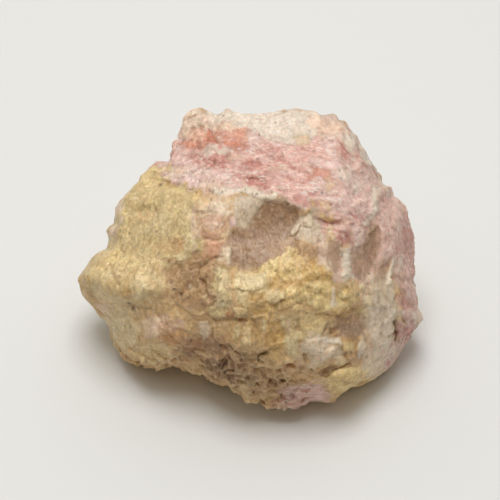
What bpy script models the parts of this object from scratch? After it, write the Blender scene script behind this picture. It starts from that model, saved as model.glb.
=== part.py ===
"""Pink tourmaline with quartz: one rough natural stone, lying on its flattest broken face.

The stone is drawn round its show face, the broken face that looks up and forward. In that
face's own frame "across" runs to the right, "up" runs up the face and "out" points straight
out of it. The rim is where the stone turns from its show face to its hidden back. Sizes in
the tables are millimetres, and the stone itself is built in metres, +Z up.
"""

import math

import bpy
import numpy as np
from mathutils import Vector, noise

MM = 0.001

# The show face looks up by this much from level, and the stone's middle sits this high.
FACE_TILT = math.radians(50)
MIDDLE_HEIGHT = 20.0 * MM

# How far the stone would swell out of the show face, and back from it, with no broken faces.
FRONT_SWELL = 21.0
BACK_SWELL = 20.0

# Points round the rim, anticlockwise from the right-hand shoulder: across, up.
RIM = (
    (25.0, 11.7),
    (23.8, 13.1),
    (22.0, 15.9),
    (19.6, 19.9),
    (18.7, 21.7),
    (17.0, 24.0),
    (15.2, 25.2),
    (13.9, 25.6),
    (12.2, 25.5),
    (9.0, 26.6),
    (7.0, 26.6),
    (3.2, 25.8),
    (-1.4, 25.7),
    (-3.1, 26.4),
    (-4.5, 26.5),
    (-5.3, 25.7),
    (-6.5, 25.7),
    (-8.2, 26.8),
    (-10.3, 26.3),
    (-11.6, 25.1),
    (-12.4, 22.6),
    (-13.5, 20.7),
    (-13.7, 18.6),
    (-14.0, 17.2),
    (-16.6, 17.1),
    (-19.0, 14.8),
    (-21.4, 12.4),
    (-23.4, 9.4),
    (-24.0, 6.3),
    (-25.1, 5.0),
    (-24.6, 3.4),
    (-25.1, 1.6),
    (-26.9, 0.6),
    (-28.8, -1.6),
    (-29.8, -3.6),
    (-29.1, -5.8),
    (-27.8, -7.5),
    (-25.8, -9.8),
    (-24.4, -13.0),
    (-22.3, -16.2),
    (-19.4, -18.4),
    (-16.8, -19.1),
    (-12.6, -18.5),
    (-9.8, -19.8),
    (-6.1, -21.7),
    (-2.8, -23.6),
    (1.4, -25.0),
    (3.5, -26.4),
    (8.5, -26.2),
    (14.0, -25.2),
    (17.6, -23.3),
    (22.0, -22.0),
    (25.4, -18.7),
    (27.9, -14.8),
    (29.0, -12.2),
    (30.1, -10.2),
    (29.4, -8.4),
    (29.0, -6.0),
    (28.2, -3.9),
    (28.5, -1.7),
    (28.5, 1.4),
    (28.0, 5.6),
    (26.9, 8.6),
)
# How far out the rim lies, by its direction round the stone in degrees from "across".
RIM_OUT = (
    (0, -5.0),
    (20, -2.4),
    (35, -0.6),
    (47, 0.6),
    (60, 2.0),
    (70, 3.0),
    (105, 3.0),
    (116, 2.2),
    (128, 0.8),
    (147, -1.2),
    (159, -2.6),
    (170, -4.5),
    (180, -5.0),
    (187, -6.0),
    (192, -7.8),
    (202, -11.2),
    (212, -12.0),
    (220, -9.9),
    (231, -7.7),
    (238, -7.5),
    (248, -6.0),
    (259, -3.7),
    (270, -0.4),
    (278, 1.8),
    (288, 1.8),
    (297, 0.1),
    (308, -3.9),
    (315, -6.2),
    (323, -8.3),
    (333, -9.0),
    (341, -7.5),
    (354, -5.4),
)
RIM_SAMPLES = 720
FINE_SMOOTHING = 5  # samples either side that the rim itself is averaged over
RIM_SMOOTHING = 24  # samples either side that the inner form averages the rim over
FRONT_SHARPNESS = 7.0  # how quickly the rim's fine outline fades in front of the rim
BACK_SHARPNESS = 60.0  # and behind it

# Broken faces that trim the front: a point on each (across, up, out), then how far the face
# rises per millimetre across and per millimetre up.
FRONT_FACES = (
    ((0.0, 11.4, 15.2), (-0.02, -0.72)),  # pink top, nearly level when the stone lies down
    ((20.0, 18.0, 6.6), (-0.85, -0.62)),  # pink top's right shoulder
    ((6.0, -3.0, 17.2), (-0.05, -0.10)),  # middle of the show face
    ((4.0, -8.0, 17.4), (-0.04, 0.36)),  # panel under the shelf
    ((4.0, -15.0, 14.6), (-0.04, 1.30)),  # bottom front, falling to the bottom rim
    ((21.0, 5.0, 12.6), (-1.45, 0.05)),  # right-hand side
    ((20.0, -13.0, 12.0), (-0.95, 0.62)),  # lower right corner
    ((-12.0, 5.0, 12.4), (0.72, -0.18)),  # left swelling
    ((-17.0, 12.0, 6.4), (0.75, -0.85)),  # left swelling's upper edge
    ((-17.0, -9.0, 10.0), (0.58, 0.72)),  # lower left belly
)
# Broken faces that trim the back, in the same way.
BACK_FACES = (
    ((0.0, 18.0, -9.0), (0.02, 1.30)),  # back, upright when the stone lies down
    ((20.0, 8.0, -10.0), (0.95, 0.55)),  # back right
    ((-18.0, 8.0, -10.5), (-0.90, 0.70)),  # back left
    ((-18.0, -12.0, -17.0), (-0.35, -0.30)),  # under the left belly
    ((18.0, -12.0, -16.0), (0.30, -0.10)),  # under the right corner
)
EDGE_SOFTNESS = 0.5  # how much two faces round off where they meet
LEAST_SWELL = 0.15  # share of the swell that no broken face trims away
RELIEF_FADE = 6.0  # how high the front stands where the relief on it reaches its full height

# The pink slab's lower lip, a ledge that stands proud of the quartz below it: across, up.
LIP = (
    (-18.0, 15.4),
    (-15.0, 14.4),
    (-11.4, 12.3),
    (-6.1, 11.9),
    (0.0, 11.4),
    (4.4, 10.5),
    (8.7, 8.9),
    (12.2, 8.0),
    (15.7, 6.6),
    (17.8, 4.2),
    (19.2, 2.1),
)
LIP_HEIGHT = 2.4
LIP_DROP = 2.0  # how far below the lip the hollow reaches its full depth
LIP_REACH = 9.0  # how far below the lip the hollow fades out
LIP_ENDS = (5.0, 3.0)  # how far in from its left and right ends the lip grows to its full height

# Rounded swellings and hollows on the show face: across, up, half-widths, height.
LUMPS = (
    (-17.0, 6.0, 8.5, 8.0, 1.6),  # left swelling
    (-24.5, -3.5, 5.0, 4.0, 3.0),  # knob
    (-17.5, -5.0, 6.0, 4.5, 1.4),  # cream lump beside the knob
    (-9.5, -4.5, 4.5, 5.5, -1.2),  # hollow left of the shelf
    (-17.5, -14.0, 8.0, 5.5, 1.2),  # belly
    (4.0, -6.3, 13.0, 3.6, 1.5),  # shelf
    (5.0, 5.5, 7.0, 4.5, -1.6),  # quartz scoop under the lip
    (-7.0, 8.0, 4.0, 4.0, 0.9),  # peach quartz shoulder
    (21.5, 2.0, 3.0, 6.0, -1.3),  # hollow beside the right-hand ridge
    (23.0, -8.0, 4.0, 6.0, 0.8),  # right quartz swelling
    (11.0, -15.5, 6.0, 3.0, 0.9),  # streaked quartz near the bottom
    (17.0, -19.5, 4.5, 3.0, 0.8),  # ochre foot
)

# Unevenness all over: wavelength and height, and a shift into the noise for each.
UNEVENNESS = ((13.0, 1.0, 3.1), (6.5, 0.6, 7.7), (3.2, 0.32, 12.9))

SPHERE_STEPS = 5  # an icosphere of 20 x 4^4 = 5120 triangles
CUT_TOLERANCE = 0.001 * MM
STONE_COLOUR = (0.62, 0.42, 0.33, 1.0)
STONE_ROUGHNESS = 0.6


def clear_scene():
    for thing in list(bpy.data.objects):
        bpy.data.objects.remove(thing)


def averaged(radius, samples):
    """Each radius averaged with its neighbours by a raised cosine, this many samples either side."""
    window = np.hanning(2 * samples + 3)[1:-1]
    window /= window.sum()
    around = np.concatenate([radius[-samples:], radius, radius[:samples]])
    return np.convolve(around, window, "valid")


def rim_tables():
    """Radius and outwardness of the rim at even angles, and the radius averaged for the inner form."""
    rim = np.array(RIM)
    angle = np.arctan2(rim[:, 1], rim[:, 0]) % math.tau
    order = np.argsort(angle)
    evenly = np.arange(RIM_SAMPLES) * math.tau / RIM_SAMPLES
    radius = np.interp(evenly, angle[order], np.hypot(rim[:, 0], rim[:, 1])[order], period=math.tau)
    rim_out = np.array(RIM_OUT)
    out = np.interp(evenly, np.radians(rim_out[:, 0]), rim_out[:, 1], period=math.tau)
    return evenly, averaged(radius, FINE_SMOOTHING), out, averaged(radius, RIM_SMOOTHING)


def soft_least(values, softness):
    """Smooth minimum over the first axis: minus the softness times the log of the summed exponentials."""
    least = values.min(axis=0)
    return least - softness * np.log(np.exp((least - values) / softness).sum(axis=0))


def faces_at(faces, across, up):
    """How far out each broken face lies at these places: its point's out plus the rises."""
    return np.array(
        [out + rise_a * (across - a) + rise_u * (up - u) for (a, u, out), (rise_a, rise_u) in faces]
    )


def below_lip(across, up):
    """1 just below the slab's lip, fading to 0 at the reach, and 0 above the lip and past its ends."""
    lip = np.array(LIP)
    drop = np.interp(across, lip[:, 0], lip[:, 1]) - up
    rising = np.clip(drop / LIP_DROP, 0, 1)
    fading = np.clip(1 - drop / LIP_REACH, 0, 1) ** 2
    left = np.clip((across - lip[0, 0]) / LIP_ENDS[0], 0, 1)
    right = np.clip((lip[-1, 0] - across) / LIP_ENDS[1], 0, 1)
    return rising * fading * left * right


def show_face_relief(across, up):
    """Height that the lip's hollow and the lumps add to the show face, each a smooth bell."""
    relief = -LIP_HEIGHT * below_lip(across, up)
    for a, u, half_a, half_u, height in LUMPS:
        relief += height * np.exp(-(((across - a) / half_a) ** 2) - ((up - u) / half_u) ** 2)
    return relief


def shaped(directions):
    """The stone's surface for each unit direction, in its show face's frame and millimetres.

    A direction turns into an angle round the rim and a lean away from it. The surface runs
    from the middle of the front over the rim to the middle of the back as a sheared ellipse,
    and the broken faces trim its height in front of the rim and behind it.
    """
    evenly, radius, rim_out, inner = rim_tables()
    angle = np.arctan2(directions[:, 1], directions[:, 0]) % math.tau
    toward_rim = np.hypot(directions[:, 0], directions[:, 1])
    fine = np.interp(angle, evenly, radius, period=math.tau)
    broad = np.interp(angle, evenly, inner, period=math.tau)
    front = directions[:, 2] > 0
    sharpness = np.where(front, FRONT_SHARPNESS, BACK_SHARPNESS)
    reach = (broad + (fine - broad) * toward_rim**sharpness) * toward_rim
    across, up = reach * np.cos(angle), reach * np.sin(angle)
    middle = np.interp(angle, evenly, rim_out, period=math.tau) * toward_rim

    swell = np.where(front, FRONT_SWELL, BACK_SWELL) * np.abs(directions[:, 2])
    least = LEAST_SWELL * swell
    trimmed_front = np.maximum(faces_at(FRONT_FACES, across, up) - middle, least)
    trimmed_back = np.maximum(middle - faces_at(BACK_FACES, across, up), least)
    front_height = np.maximum(soft_least(np.concatenate([[swell], trimmed_front]), EDGE_SOFTNESS), least)
    back_height = np.maximum(soft_least(np.concatenate([[swell], trimmed_back]), EDGE_SOFTNESS), least)
    front_height += show_face_relief(across, up) * np.clip(front_height / RELIEF_FADE, 0, 1)
    return np.stack([across, up, middle + np.where(front, front_height, -back_height)], axis=1)


def uneven(point):
    """How far a place stands out from the smooth form: a few octaves of smooth noise."""
    return sum(
        height * noise.noise(Vector(point) / wavelength + Vector((shift, shift, shift)))
        for wavelength, height, shift in UNEVENNESS
    )


def lay_down(points):
    """Turns show-face places into the lying stone's: across stays, up and out tilt by the face's lean."""
    across, up, out = points.T
    forward, height = math.sin(FACE_TILT), math.cos(FACE_TILT)
    return np.stack([across, up * forward - out * height, up * height + out * forward], axis=1)


def stone_mesh():
    bpy.ops.mesh.primitive_ico_sphere_add(subdivisions=SPHERE_STEPS, radius=1)
    stone = bpy.context.object
    mesh = stone.data
    directions = np.empty(len(mesh.vertices) * 3)
    mesh.vertices.foreach_get("co", directions)
    directions = directions.reshape(-1, 3)
    directions /= np.linalg.norm(directions, axis=1, keepdims=True)
    points = shaped(directions)
    swelling = np.array([uneven(point) for point in points])
    points *= (1 + swelling / np.linalg.norm(points, axis=1))[:, None]
    points = lay_down(points) * MM + (0, 0, MIDDLE_HEIGHT)
    mesh.vertices.foreach_set("co", points.ravel())
    mesh.update()
    return stone


def break_flat(stone):
    """Cuts off what lies under the surface that the stone rests on, and closes the cut."""
    bpy.context.view_layer.objects.active = stone
    bpy.ops.object.mode_set(mode="EDIT")
    bpy.ops.mesh.select_all(action="SELECT")
    bpy.ops.mesh.bisect(
        plane_co=(0, 0, 0),
        plane_no=(0, 0, 1),
        clear_inner=True,
        use_fill=True,
        threshold=CUT_TOLERANCE,
    )
    bpy.ops.object.mode_set(mode="OBJECT")


def centre_over_origin(stone):
    """Moves the stone so that the middle of its outline from above is over the origin."""
    corners = [Vector(corner) for corner in stone.bound_box]
    middle = (corners[0] + corners[6]) / 2
    stone.location = (-middle.x, -middle.y, 0)


def stone_material():
    material = bpy.data.materials.new("tourmaline_and_quartz")
    material.use_nodes = True
    shader = material.node_tree.nodes["Principled BSDF"]
    shader.inputs["Base Color"].default_value = STONE_COLOUR
    shader.inputs["Roughness"].default_value = STONE_ROUGHNESS
    shader.inputs["Metallic"].default_value = 0.0
    return material


def build_stone():
    stone = stone_mesh()
    stone.name = "stone"
    break_flat(stone)
    centre_over_origin(stone)
    stone.data.materials.append(stone_material())
    return stone


def main():
    clear_scene()
    collection = bpy.data.collections.new("pink_tourmaline_with_quartz")
    bpy.context.scene.collection.children.link(collection)
    stone = build_stone()
    for other in list(stone.users_collection):
        other.objects.unlink(stone)
    collection.objects.link(stone)


main()
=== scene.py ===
"""Pink tourmaline with quartz: the looks of one rough natural stone, laid out as a Blender add-on.

The stone is one closed surface worked out with numpy. Tables are in millimetres in its show
face's own frame: "across" runs to the right, "up" runs up the face and "out" points straight
out of it. Places on the show face are given as they look square on from SIGHT_DISTANCE away,
so a place that stands out towards the eye is drawn in a little to its true place.
"""

import itertools
import math

import bpy
import numpy as np
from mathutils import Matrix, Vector


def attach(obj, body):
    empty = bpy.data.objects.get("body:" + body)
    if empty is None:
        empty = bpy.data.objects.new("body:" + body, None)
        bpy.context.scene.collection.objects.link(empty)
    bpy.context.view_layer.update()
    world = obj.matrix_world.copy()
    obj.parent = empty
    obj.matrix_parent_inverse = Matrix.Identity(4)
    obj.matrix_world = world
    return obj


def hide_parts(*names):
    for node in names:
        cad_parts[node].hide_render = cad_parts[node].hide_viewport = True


bl_info = {
    "name": "Pink Tourmaline With Quartz",
    "version": (1, 0, 0),
    "blender": (4, 5, 0),
    "location": "3D Viewport > Sidebar > Stone",
    "description": "Builds one rough stone of pink tourmaline grown into quartz and feldspar",
    "category": "Object",
}

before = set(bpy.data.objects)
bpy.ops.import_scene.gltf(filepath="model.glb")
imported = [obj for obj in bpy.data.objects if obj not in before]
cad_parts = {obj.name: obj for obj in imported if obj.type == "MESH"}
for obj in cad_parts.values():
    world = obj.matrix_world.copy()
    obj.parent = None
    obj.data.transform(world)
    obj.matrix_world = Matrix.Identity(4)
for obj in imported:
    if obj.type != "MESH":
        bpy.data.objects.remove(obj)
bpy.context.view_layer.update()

MM = 0.001

# --- The stone's form ----------------------------------------------------------------------

FACE_TILT = math.radians(50)  # the show face looks up by this much from level
FACE_MIDDLE = np.array((-0.539, 0.687, 20.0)) * MM  # where the show face's own middle lies
SIGHT_DISTANCE = 450.0
VIEW_WIDTH = 87.46  # how much of the show face's plane the picture is wide
AIM_UP = 1.75  # the camera aims this far above the show face's middle

FRONT_SWELL = 21.0  # how far the front would stand out if no broken face trimmed it
BACK_SWELL = 20.0  # and the back

# Points round the rim where the show face turns to the back: across, up.
RIM = (
    (28.0, 6.0), (27.5, 8.0), (26.6, 9.4), (26.0, 10.4), (25.1, 11.1), (25.0, 11.9), (24.7, 12.9),
    (23.6, 13.2), (22.8, 14.2), (21.8, 15.9), (20.5, 18.0), (20.0, 19.1), (19.2, 20.2),
    (18.7, 21.7), (18.0, 22.4), (17.3, 23.3), (16.6, 24.4), (15.6, 24.5), (15.2, 25.1),
    (14.4, 25.4), (13.2, 25.5), (12.6, 25.3), (11.5, 26.0), (10.0, 26.2), (8.3, 26.5), (6.5, 26.2),
    (4.5, 25.9), (2.0, 25.6), (-1.5, 25.7), (-2.9, 26.1), (-3.8, 26.6), (-4.6, 26.3), (-5.1, 25.7),
    (-6.2, 25.7), (-7.2, 26.3), (-8.4, 26.7), (-10.0, 26.5), (-11.1, 26.0), (-12.0, 24.9),
    (-12.2, 23.6), (-12.6, 21.9), (-12.7, 21.3), (-13.4, 20.9), (-13.7, 20.2), (-13.5, 19.4),
    (-13.9, 18.6), (-14.0, 17.3), (-16.6, 17.2), (-17.6, 16.4), (-18.2, 15.4), (-19.2, 14.8),
    (-19.5, 13.9), (-20.4, 13.2), (-21.5, 12.0), (-22.7, 10.6), (-23.6, 9.2), (-23.8, 8.0),
    (-23.8, 6.4), (-24.7, 5.9), (-25.2, 5.1), (-24.8, 4.2), (-24.7, 3.4), (-25.1, 1.8),
    (-27.0, 1.2), (-27.9, 0.2), (-28.8, -1.3), (-29.8, -2.5), (-30.1, -3.6), (-29.8, -5.0),
    (-29.3, -6.2), (-28.0, -7.5), (-27.3, -8.2), (-26.6, -9.2), (-25.9, -10.3), (-25.0, -12.0),
    (-24.5, -14.0), (-23.9, -15.1), (-22.6, -16.6), (-20.9, -17.7), (-19.2, -18.2), (-18.0, -18.7),
    (-17.0, -19.0), (-15.3, -18.8), (-12.7, -18.5), (-12.0, -19.0), (-10.0, -20.1), (-8.3, -20.1),
    (-7.4, -20.9), (-6.4, -21.8), (-4.2, -22.0), (-3.4, -22.6), (-2.3, -23.2), (-1.0, -24.1),
    (0.2, -24.7), (1.4, -25.0), (1.8, -25.6), (2.6, -26.1), (3.5, -26.4), (4.6, -26.1),
    (8.3, -26.2), (9.8, -25.9), (11.1, -25.3), (13.0, -25.3), (14.5, -25.0), (16.0, -24.1),
    (17.9, -23.0), (19.6, -22.4), (21.6, -21.8), (23.4, -20.6), (25.2, -18.9), (26.3, -17.3),
    (27.2, -15.7), (28.0, -14.3), (28.7, -13.2), (29.0, -12.3), (29.7, -11.4), (30.2, -10.4),
    (29.9, -9.4), (29.2, -8.4), (29.1, -6.0), (28.7, -4.6), (28.2, -3.6), (28.6, -2.3),
    (28.4, -1.0), (28.5, 1.0), (28.4, 4.0),
)
# How far out the rim lies, by its direction round the stone in degrees from "across".
RIM_OUT = (
    (0, -5.0), (20, -2.4), (35, -0.6), (47, 0.6), (60, 2.0), (70, 3.0), (105, 3.0), (116, 2.2),
    (128, 0.8), (147, -1.2), (159, -2.6), (170, -4.5), (180, -5.0), (187, -6.0), (192, -7.8),
    (202, -11.2), (212, -12.0), (220, -9.9), (231, -7.7), (238, -7.5), (248, -6.0), (259, -3.7),
    (270, -0.4), (278, 1.8), (288, 1.8), (297, 0.1), (308, -3.9), (315, -6.2), (323, -8.3),
    (333, -9.0), (341, -7.5), (354, -5.4),
)
RIM_SAMPLES = 1440  # even angles at which the rim is read
RIM_SMOOTHING = 48  # samples to each side that are averaged for the inner form
FRONT_SHARPNESS = 7.0  # how quickly the rim's fine outline fades in front of the rim
BACK_SHARPNESS = 60.0  # and behind it

# Broken faces that trim the front and the back: a point on each (across, up, out), then how
# far the face rises per millimetre across and per millimetre up.
FRONT_FACES = (
    ((0.0, 11.4, 15.2), (-0.02, -0.72)),  # pink top, nearly level when the stone lies down
    ((20.0, 18.0, 6.6), (-0.85, -0.62)),  # pink top's right shoulder
    ((6.0, -3.0, 17.2), (-0.05, -0.10)),  # middle of the show face
    ((4.0, -8.0, 17.4), (-0.04, 0.36)),  # panel under the shelf
    ((4.0, -15.0, 14.6), (-0.04, 1.30)),  # bottom front, falling to the bottom rim
    ((21.0, 5.0, 12.6), (-1.45, 0.05)),  # right-hand side
    ((20.0, -13.0, 12.0), (-0.95, 0.62)),  # lower right corner
    ((-12.0, 5.0, 12.4), (0.72, -0.18)),  # left swelling
    ((-17.0, 12.0, 6.4), (0.75, -0.85)),  # left swelling's upper edge
    ((-17.0, -9.0, 10.0), (0.58, 0.72)),  # lower left belly
)
BACK_FACES = (
    ((0.0, 18.0, -9.0), (0.02, 1.30)),  # back, upright when the stone lies down
    ((20.0, 8.0, -10.0), (0.95, 0.55)),  # back right
    ((-18.0, 8.0, -10.5), (-0.90, 0.70)),  # back left
    ((-18.0, -12.0, -17.0), (-0.35, -0.30)),  # under the left belly
    ((18.0, -12.0, -16.0), (0.30, -0.10)),  # under the right corner
)
EDGE_SOFTNESS = 0.35  # how rounded the edges between broken faces are
LEAST_SWELL = 0.15  # the least share of the swell that is left under a broken face
RELIEF_FADE = 4.0  # lumps and ledges have their full height this far out from the rim

# Rounded swellings and hollows on the show face: across, up, half-widths, height.
LUMPS = (
    (-17.0, 6.0, 8.5, 8.0, 1.6),  # left swelling
    (-24.5, -3.5, 5.0, 4.0, 3.0),  # knob
    (-27.2, -5.0, 0.9, 1.3, -1.3),  # knob's shaded dent
    (-17.5, -5.0, 6.0, 4.5, 1.4),  # cream lump beside the knob
    (-18.8, -4.0, 1.8, 2.0, 0.7),
    (-18.6, 8.5, 1.7, 1.0, -0.9),  # dimple
    (-9.5, -4.5, 4.5, 5.5, -1.2),  # hollow left of the shelf
    (-17.5, -14.0, 8.0, 5.5, 1.2),  # belly
    (4.0, -6.8, 13.0, 4.2, 1.2),  # shelf
    (5.0, 5.5, 6.0, 4.0, -1.8),  # quartz scoop under the lip
    (-6.5, 7.5, 3.6, 3.6, 1.0),  # peach quartz shoulder
    (21.5, 3.0, 1.6, 4.0, -1.6),  # hollow beside the right-hand ridge
    (24.0, -8.0, 4.0, 6.0, 0.8),  # right quartz swelling
    (12.0, -15.5, 4.5, 2.4, 0.5),  # white quartz near the bottom
    (17.0, -20.3, 4.0, 1.8, 1.3),  # yellow foot
    (14.2, -18.8, 2.2, 0.9, -1.0),
    (9.0, -23.8, 4.0, 1.8, 1.0),  # lilac foot
    (25.3, -12.2, 0.6, 1.9, -1.2),  # dark recess at the right
    (26.7, -10.9, 0.6, 0.7, -0.9),
    (13.3, 7.0, 0.8, 1.0, -1.1),  # pocket under the lip
    (15.2, 6.5, 1.2, 0.5, -0.8),
)

# Ledges: each stands proud above its line and drops below it. Line, drop, how far below the
# line the full drop is reached, how far below it the hollow fades out.
LEDGES = (
    (  # the pink slab's lower lip, left
        (
            (-18.0, 15.0), (-14.0, 14.3), (-11.0, 13.0), (-8.5, 12.2), (-5.5, 11.9),
            (-2.0, 11.7), (0.5, 11.4), (2.6, 10.8), (5.0, 10.6),
        ),
        0.3,
        0.8,
        6.0,
    ),
    (  # the lip's right half
        (
            (1.6, 11.0), (3.4, 10.4), (5.5, 10.2), (7.5, 9.4), (10.5, 8.6),
            (13.0, 8.1), (15.5, 7.2), (17.0, 5.2), (18.3, 2.6), (19.8, 1.9),
        ),
        0.45,
        1.3,
        7.0,
    ),
    (  # the cream blocks' foot
        ((-7.2, -8.6), (-6.0, -10.2), (-3.0, -10.1), (-0.3, -10.2), (1.5, -9.9), (3.0, -9.6)),
        0.55,
        0.35,
        4.0,
    ),
    (  # the honey shelf's foot
        ((3.6, -8.6), (5.8, -8.6), (7.2, -8.0), (8.6, -7.3), (9.6, -6.5), (11.0, -6.8)),
        0.45,
        0.35,
        4.0,
    ),
    (  # the foot of the shelf's right end
        ((10.6, -9.3), (12.0, -9.4), (14.0, -9.0), (16.0, -9.3), (18.6, -8.7), (20.4, -9.8)),
        0.45,
        0.4,
        4.0,
    ),
    (  # the brown panel's foot
        ((-2.8, -15.2), (-1.2, -15.9), (0.4, -16.4), (1.6, -16.3), (2.2, -15.8), (3.4, -15.9)),
        1.1,
        0.4,
        3.0,
    ),
    (  # above the yellow foot
        ((14.6, -18.0), (15.6, -18.5), (16.6, -18.3), (17.6, -17.8)),
        0.8,
        0.3,
        2.0,
    ),
    (  # left swelling under its yellow brow
        ((-18.8, 14.4), (-16.0, 14.3), (-13.6, 13.9), (-12.2, 13.2)),
        0.6,
        0.4,
        3.0,
    ),
)
LEDGE_END = 1.5  # how far in from its ends a ledge grows to its full height

# Cracks and creases (height below 0) and thin ridges (above 0): line, half-width, height.
CREASES = (
    (((-7.9, 3.7), (-6.0, 3.6), (-4.8, 3.8)), 0.22, -0.56),
    (((-10.2, -1.6), (-8.3, -0.8), (-7.0, 0.2), (-5.0, 0.5)), 0.21, -0.56),
    (((-9.3, 10.5), (-9.4, 7.5), (-9.2, 5.5)), 0.26, -0.35),
    (((-24.4, -0.8), (-24.1, -2.3), (-23.6, -3.0), (-22.8, -4.3)), 0.26, -0.56),
    (((-23.8, -1.6), (-22.9, -1.9), (-21.9, -2.0)), 0.22, -0.35),
    (((-0.4, -6.2), (-0.4, -8.4)), 0.17, -0.42),
    (((5.6, -8.6), (7.0, -8.1), (8.2, -7.5), (9.2, -6.7)), 0.2, -0.8),
    (((-6.2, -10.3), (-4.8, -10.1), (-3.4, -10.2), (-0.5, -10.4)), 0.3, -0.8),
    (((8.1, -10.0), (8.4, -11.0), (8.2, -12.2), (9.1, -12.4)), 0.25, -0.6),
    (((11.2, -9.4), (12.6, -9.2), (13.4, -9.3)), 0.2, -0.6),
    (((-3.3, -15.0), (-2.6, -15.6), (-1.4, -15.9)), 0.25, -0.7),
    (((3.0, -15.8), (2.2, -15.9), (1.9, -16.4), (1.3, -17.2)), 0.3, -1.0),
    (((15.6, -18.6), (16.4, -18.4), (17.1, -18.1)), 0.22, -0.8),
    (((-5.4, -17.6), (-4.4, -18.6), (-3.0, -19.2)), 0.25, -0.9),
    (((-3.8, -20.0), (-2.8, -21.2), (-1.4, -21.9)), 0.25, -0.8),
    (((-0.6, -20.4), (0.4, -21.2), (1.4, -21.3), (2.0, -22.4)), 0.25, -0.9),
    (((4.4, -20.2), (5.6, -21.0), (6.8, -21.0)), 0.22, -0.7),
    (((-8.6, -17.4), (-7.2, -18.0), (-6.4, -19.0)), 0.22, -0.6),
    (((-7.0, -7.9), (-7.1, -9.6)), 0.15, -0.35),
    (((2.2, -15.9), (1.5, -16.9), (0.4, -18.6)), 0.22, -0.49),
    (((-6.0, -15.6), (-8.5, -15.7)), 0.22, -0.28),
    (((-21.8, -7.4), (-20.8, -7.3), (-20.3, -8.4)), 0.26, -0.49),
    (((-12.6, -5.9), (-11.8, -6.1)), 0.22, -0.42),
    (((-14.5, -3.9), (-13.4, -3.8)), 0.22, -0.42),
    (((20.1, 6.0), (20.0, 4.0), (20.1, 2.0)), 0.22, -0.49),
    (((0.0, 17.0), (1.6, 17.0)), 0.14, -0.24),
    (((-3.4, 19.4), (-3.5, 18.6), (-4.1, 18.0)), 0.19, -0.28),
    (((4.0, 17.4), (6.0, 17.5)), 0.15, -0.24),
    (((16.9, 21.8), (18.0, 21.8)), 0.15, -0.24),
    (((21.6, 12.2), (21.7, 9.5), (21.0, 7.5), (20.2, 6.6)), 0.45, 0.41),  # white ridge
    (((-10.6, 4.3), (-10.9, 2.5), (-11.0, 0.4)), 0.2, 0.08),
    (((14.4, -4.6), (14.6, -6.4), (14.2, -8.0)), 0.28, 0.23),
    (((25.4, -0.4), (24.9, -2.0), (24.0, -4.5)), 0.24, 0.4),
    (((26.4, -0.5), (26.0, -1.8)), 0.18, 0.3),
    (((16.3, 2.0), (16.5, -0.5), (16.3, -3.4)), 0.26, 0.3),
    (((17.8, 1.8), (17.5, 0.0), (17.3, -3.2)), 0.22, 0.3),
    (((19.4, 4.6), (19.1, 3.2), (18.5, 2.0)), 0.24, 0.3),
    (((11.4, -16.8), (12.6, -15.6), (13.4, -14.6)), 0.2, 0.25),
    (((12.6, -17.4), (14.0, -16.0), (15.2, -15.2)), 0.2, 0.25),
    (((10.5, -15.6), (11.6, -14.3)), 0.2, 0.2),
    (((19.6, -13.6), (19.2, -15.0), (18.8, -16.2)), 0.24, 0.35),
    (((22.4, -18.8), (23.6, -17.4), (24.4, -15.6)), 0.2, 0.2),
    (((24.8, -5.6), (24.7, -8.2), (24.3, -10.8), (23.6, -12.6)), 0.24, 0.25),
    (((25.5, -9.2), (26.7, -9.1)), 0.35, 0.35),
    (((21.4, -6.4), (22.2, -8.4), (22.4, -10.6)), 0.2, 0.2),
    (((-25.4, -7.9), (-23.4, -7.4), (-21.4, -7.8), (-19.0, -8.0), (-17.0, -8.6)), 0.25, -0.5),
    (((-16.2, -9.6), (-15.4, -11.2), (-16.0, -13.2)), 0.22, -0.35),
    (((-18.0, -1.2), (-16.8, -2.8), (-15.6, -3.9), (-14.7, -4.7)), 0.45, 0.06),
    (((6.8, 4.6), (7.8, 5.6), (8.6, 6.6)), 0.3, 0.23),
    (((-3.3, 1.9), (-3.6, 0.8), (-3.2, -0.6)), 0.4, 0.18),
)

# Blocks with sharp edges: across, up, half-sizes, turn in degrees, height.
BLOCKS = (
    (7.3, -2.5, 1.8, 1.2, 10, 0.17),
    (9.3, -5.6, 1.5, 1.7, -20, 0.25),
    (5.7, -0.9, 1.6, 0.9, 14, 0.25),
    (1.2, -12.6, 2.2, 2.9, 0, 0.25),  # brown panel
    (-7.4, 21.6, 0.9, 0.9, 20, -0.17),  # salmon triangle's pit
    (0.9, 13.7, 1.8, 0.7, 0, -0.15),
    (16.1, 19.7, 0.5, 1.5, -14, -0.15),
    (-12.4, 0.6, 1.0, 0.7, 20, 0.25),
    (-16.0, -0.4, 0.35, 0.7, 10, 0.2),
)
BLOCK_EDGE = 0.22  # how wide a block's sloping border is

# --- The minerals --------------------------------------------------------------------------

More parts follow.
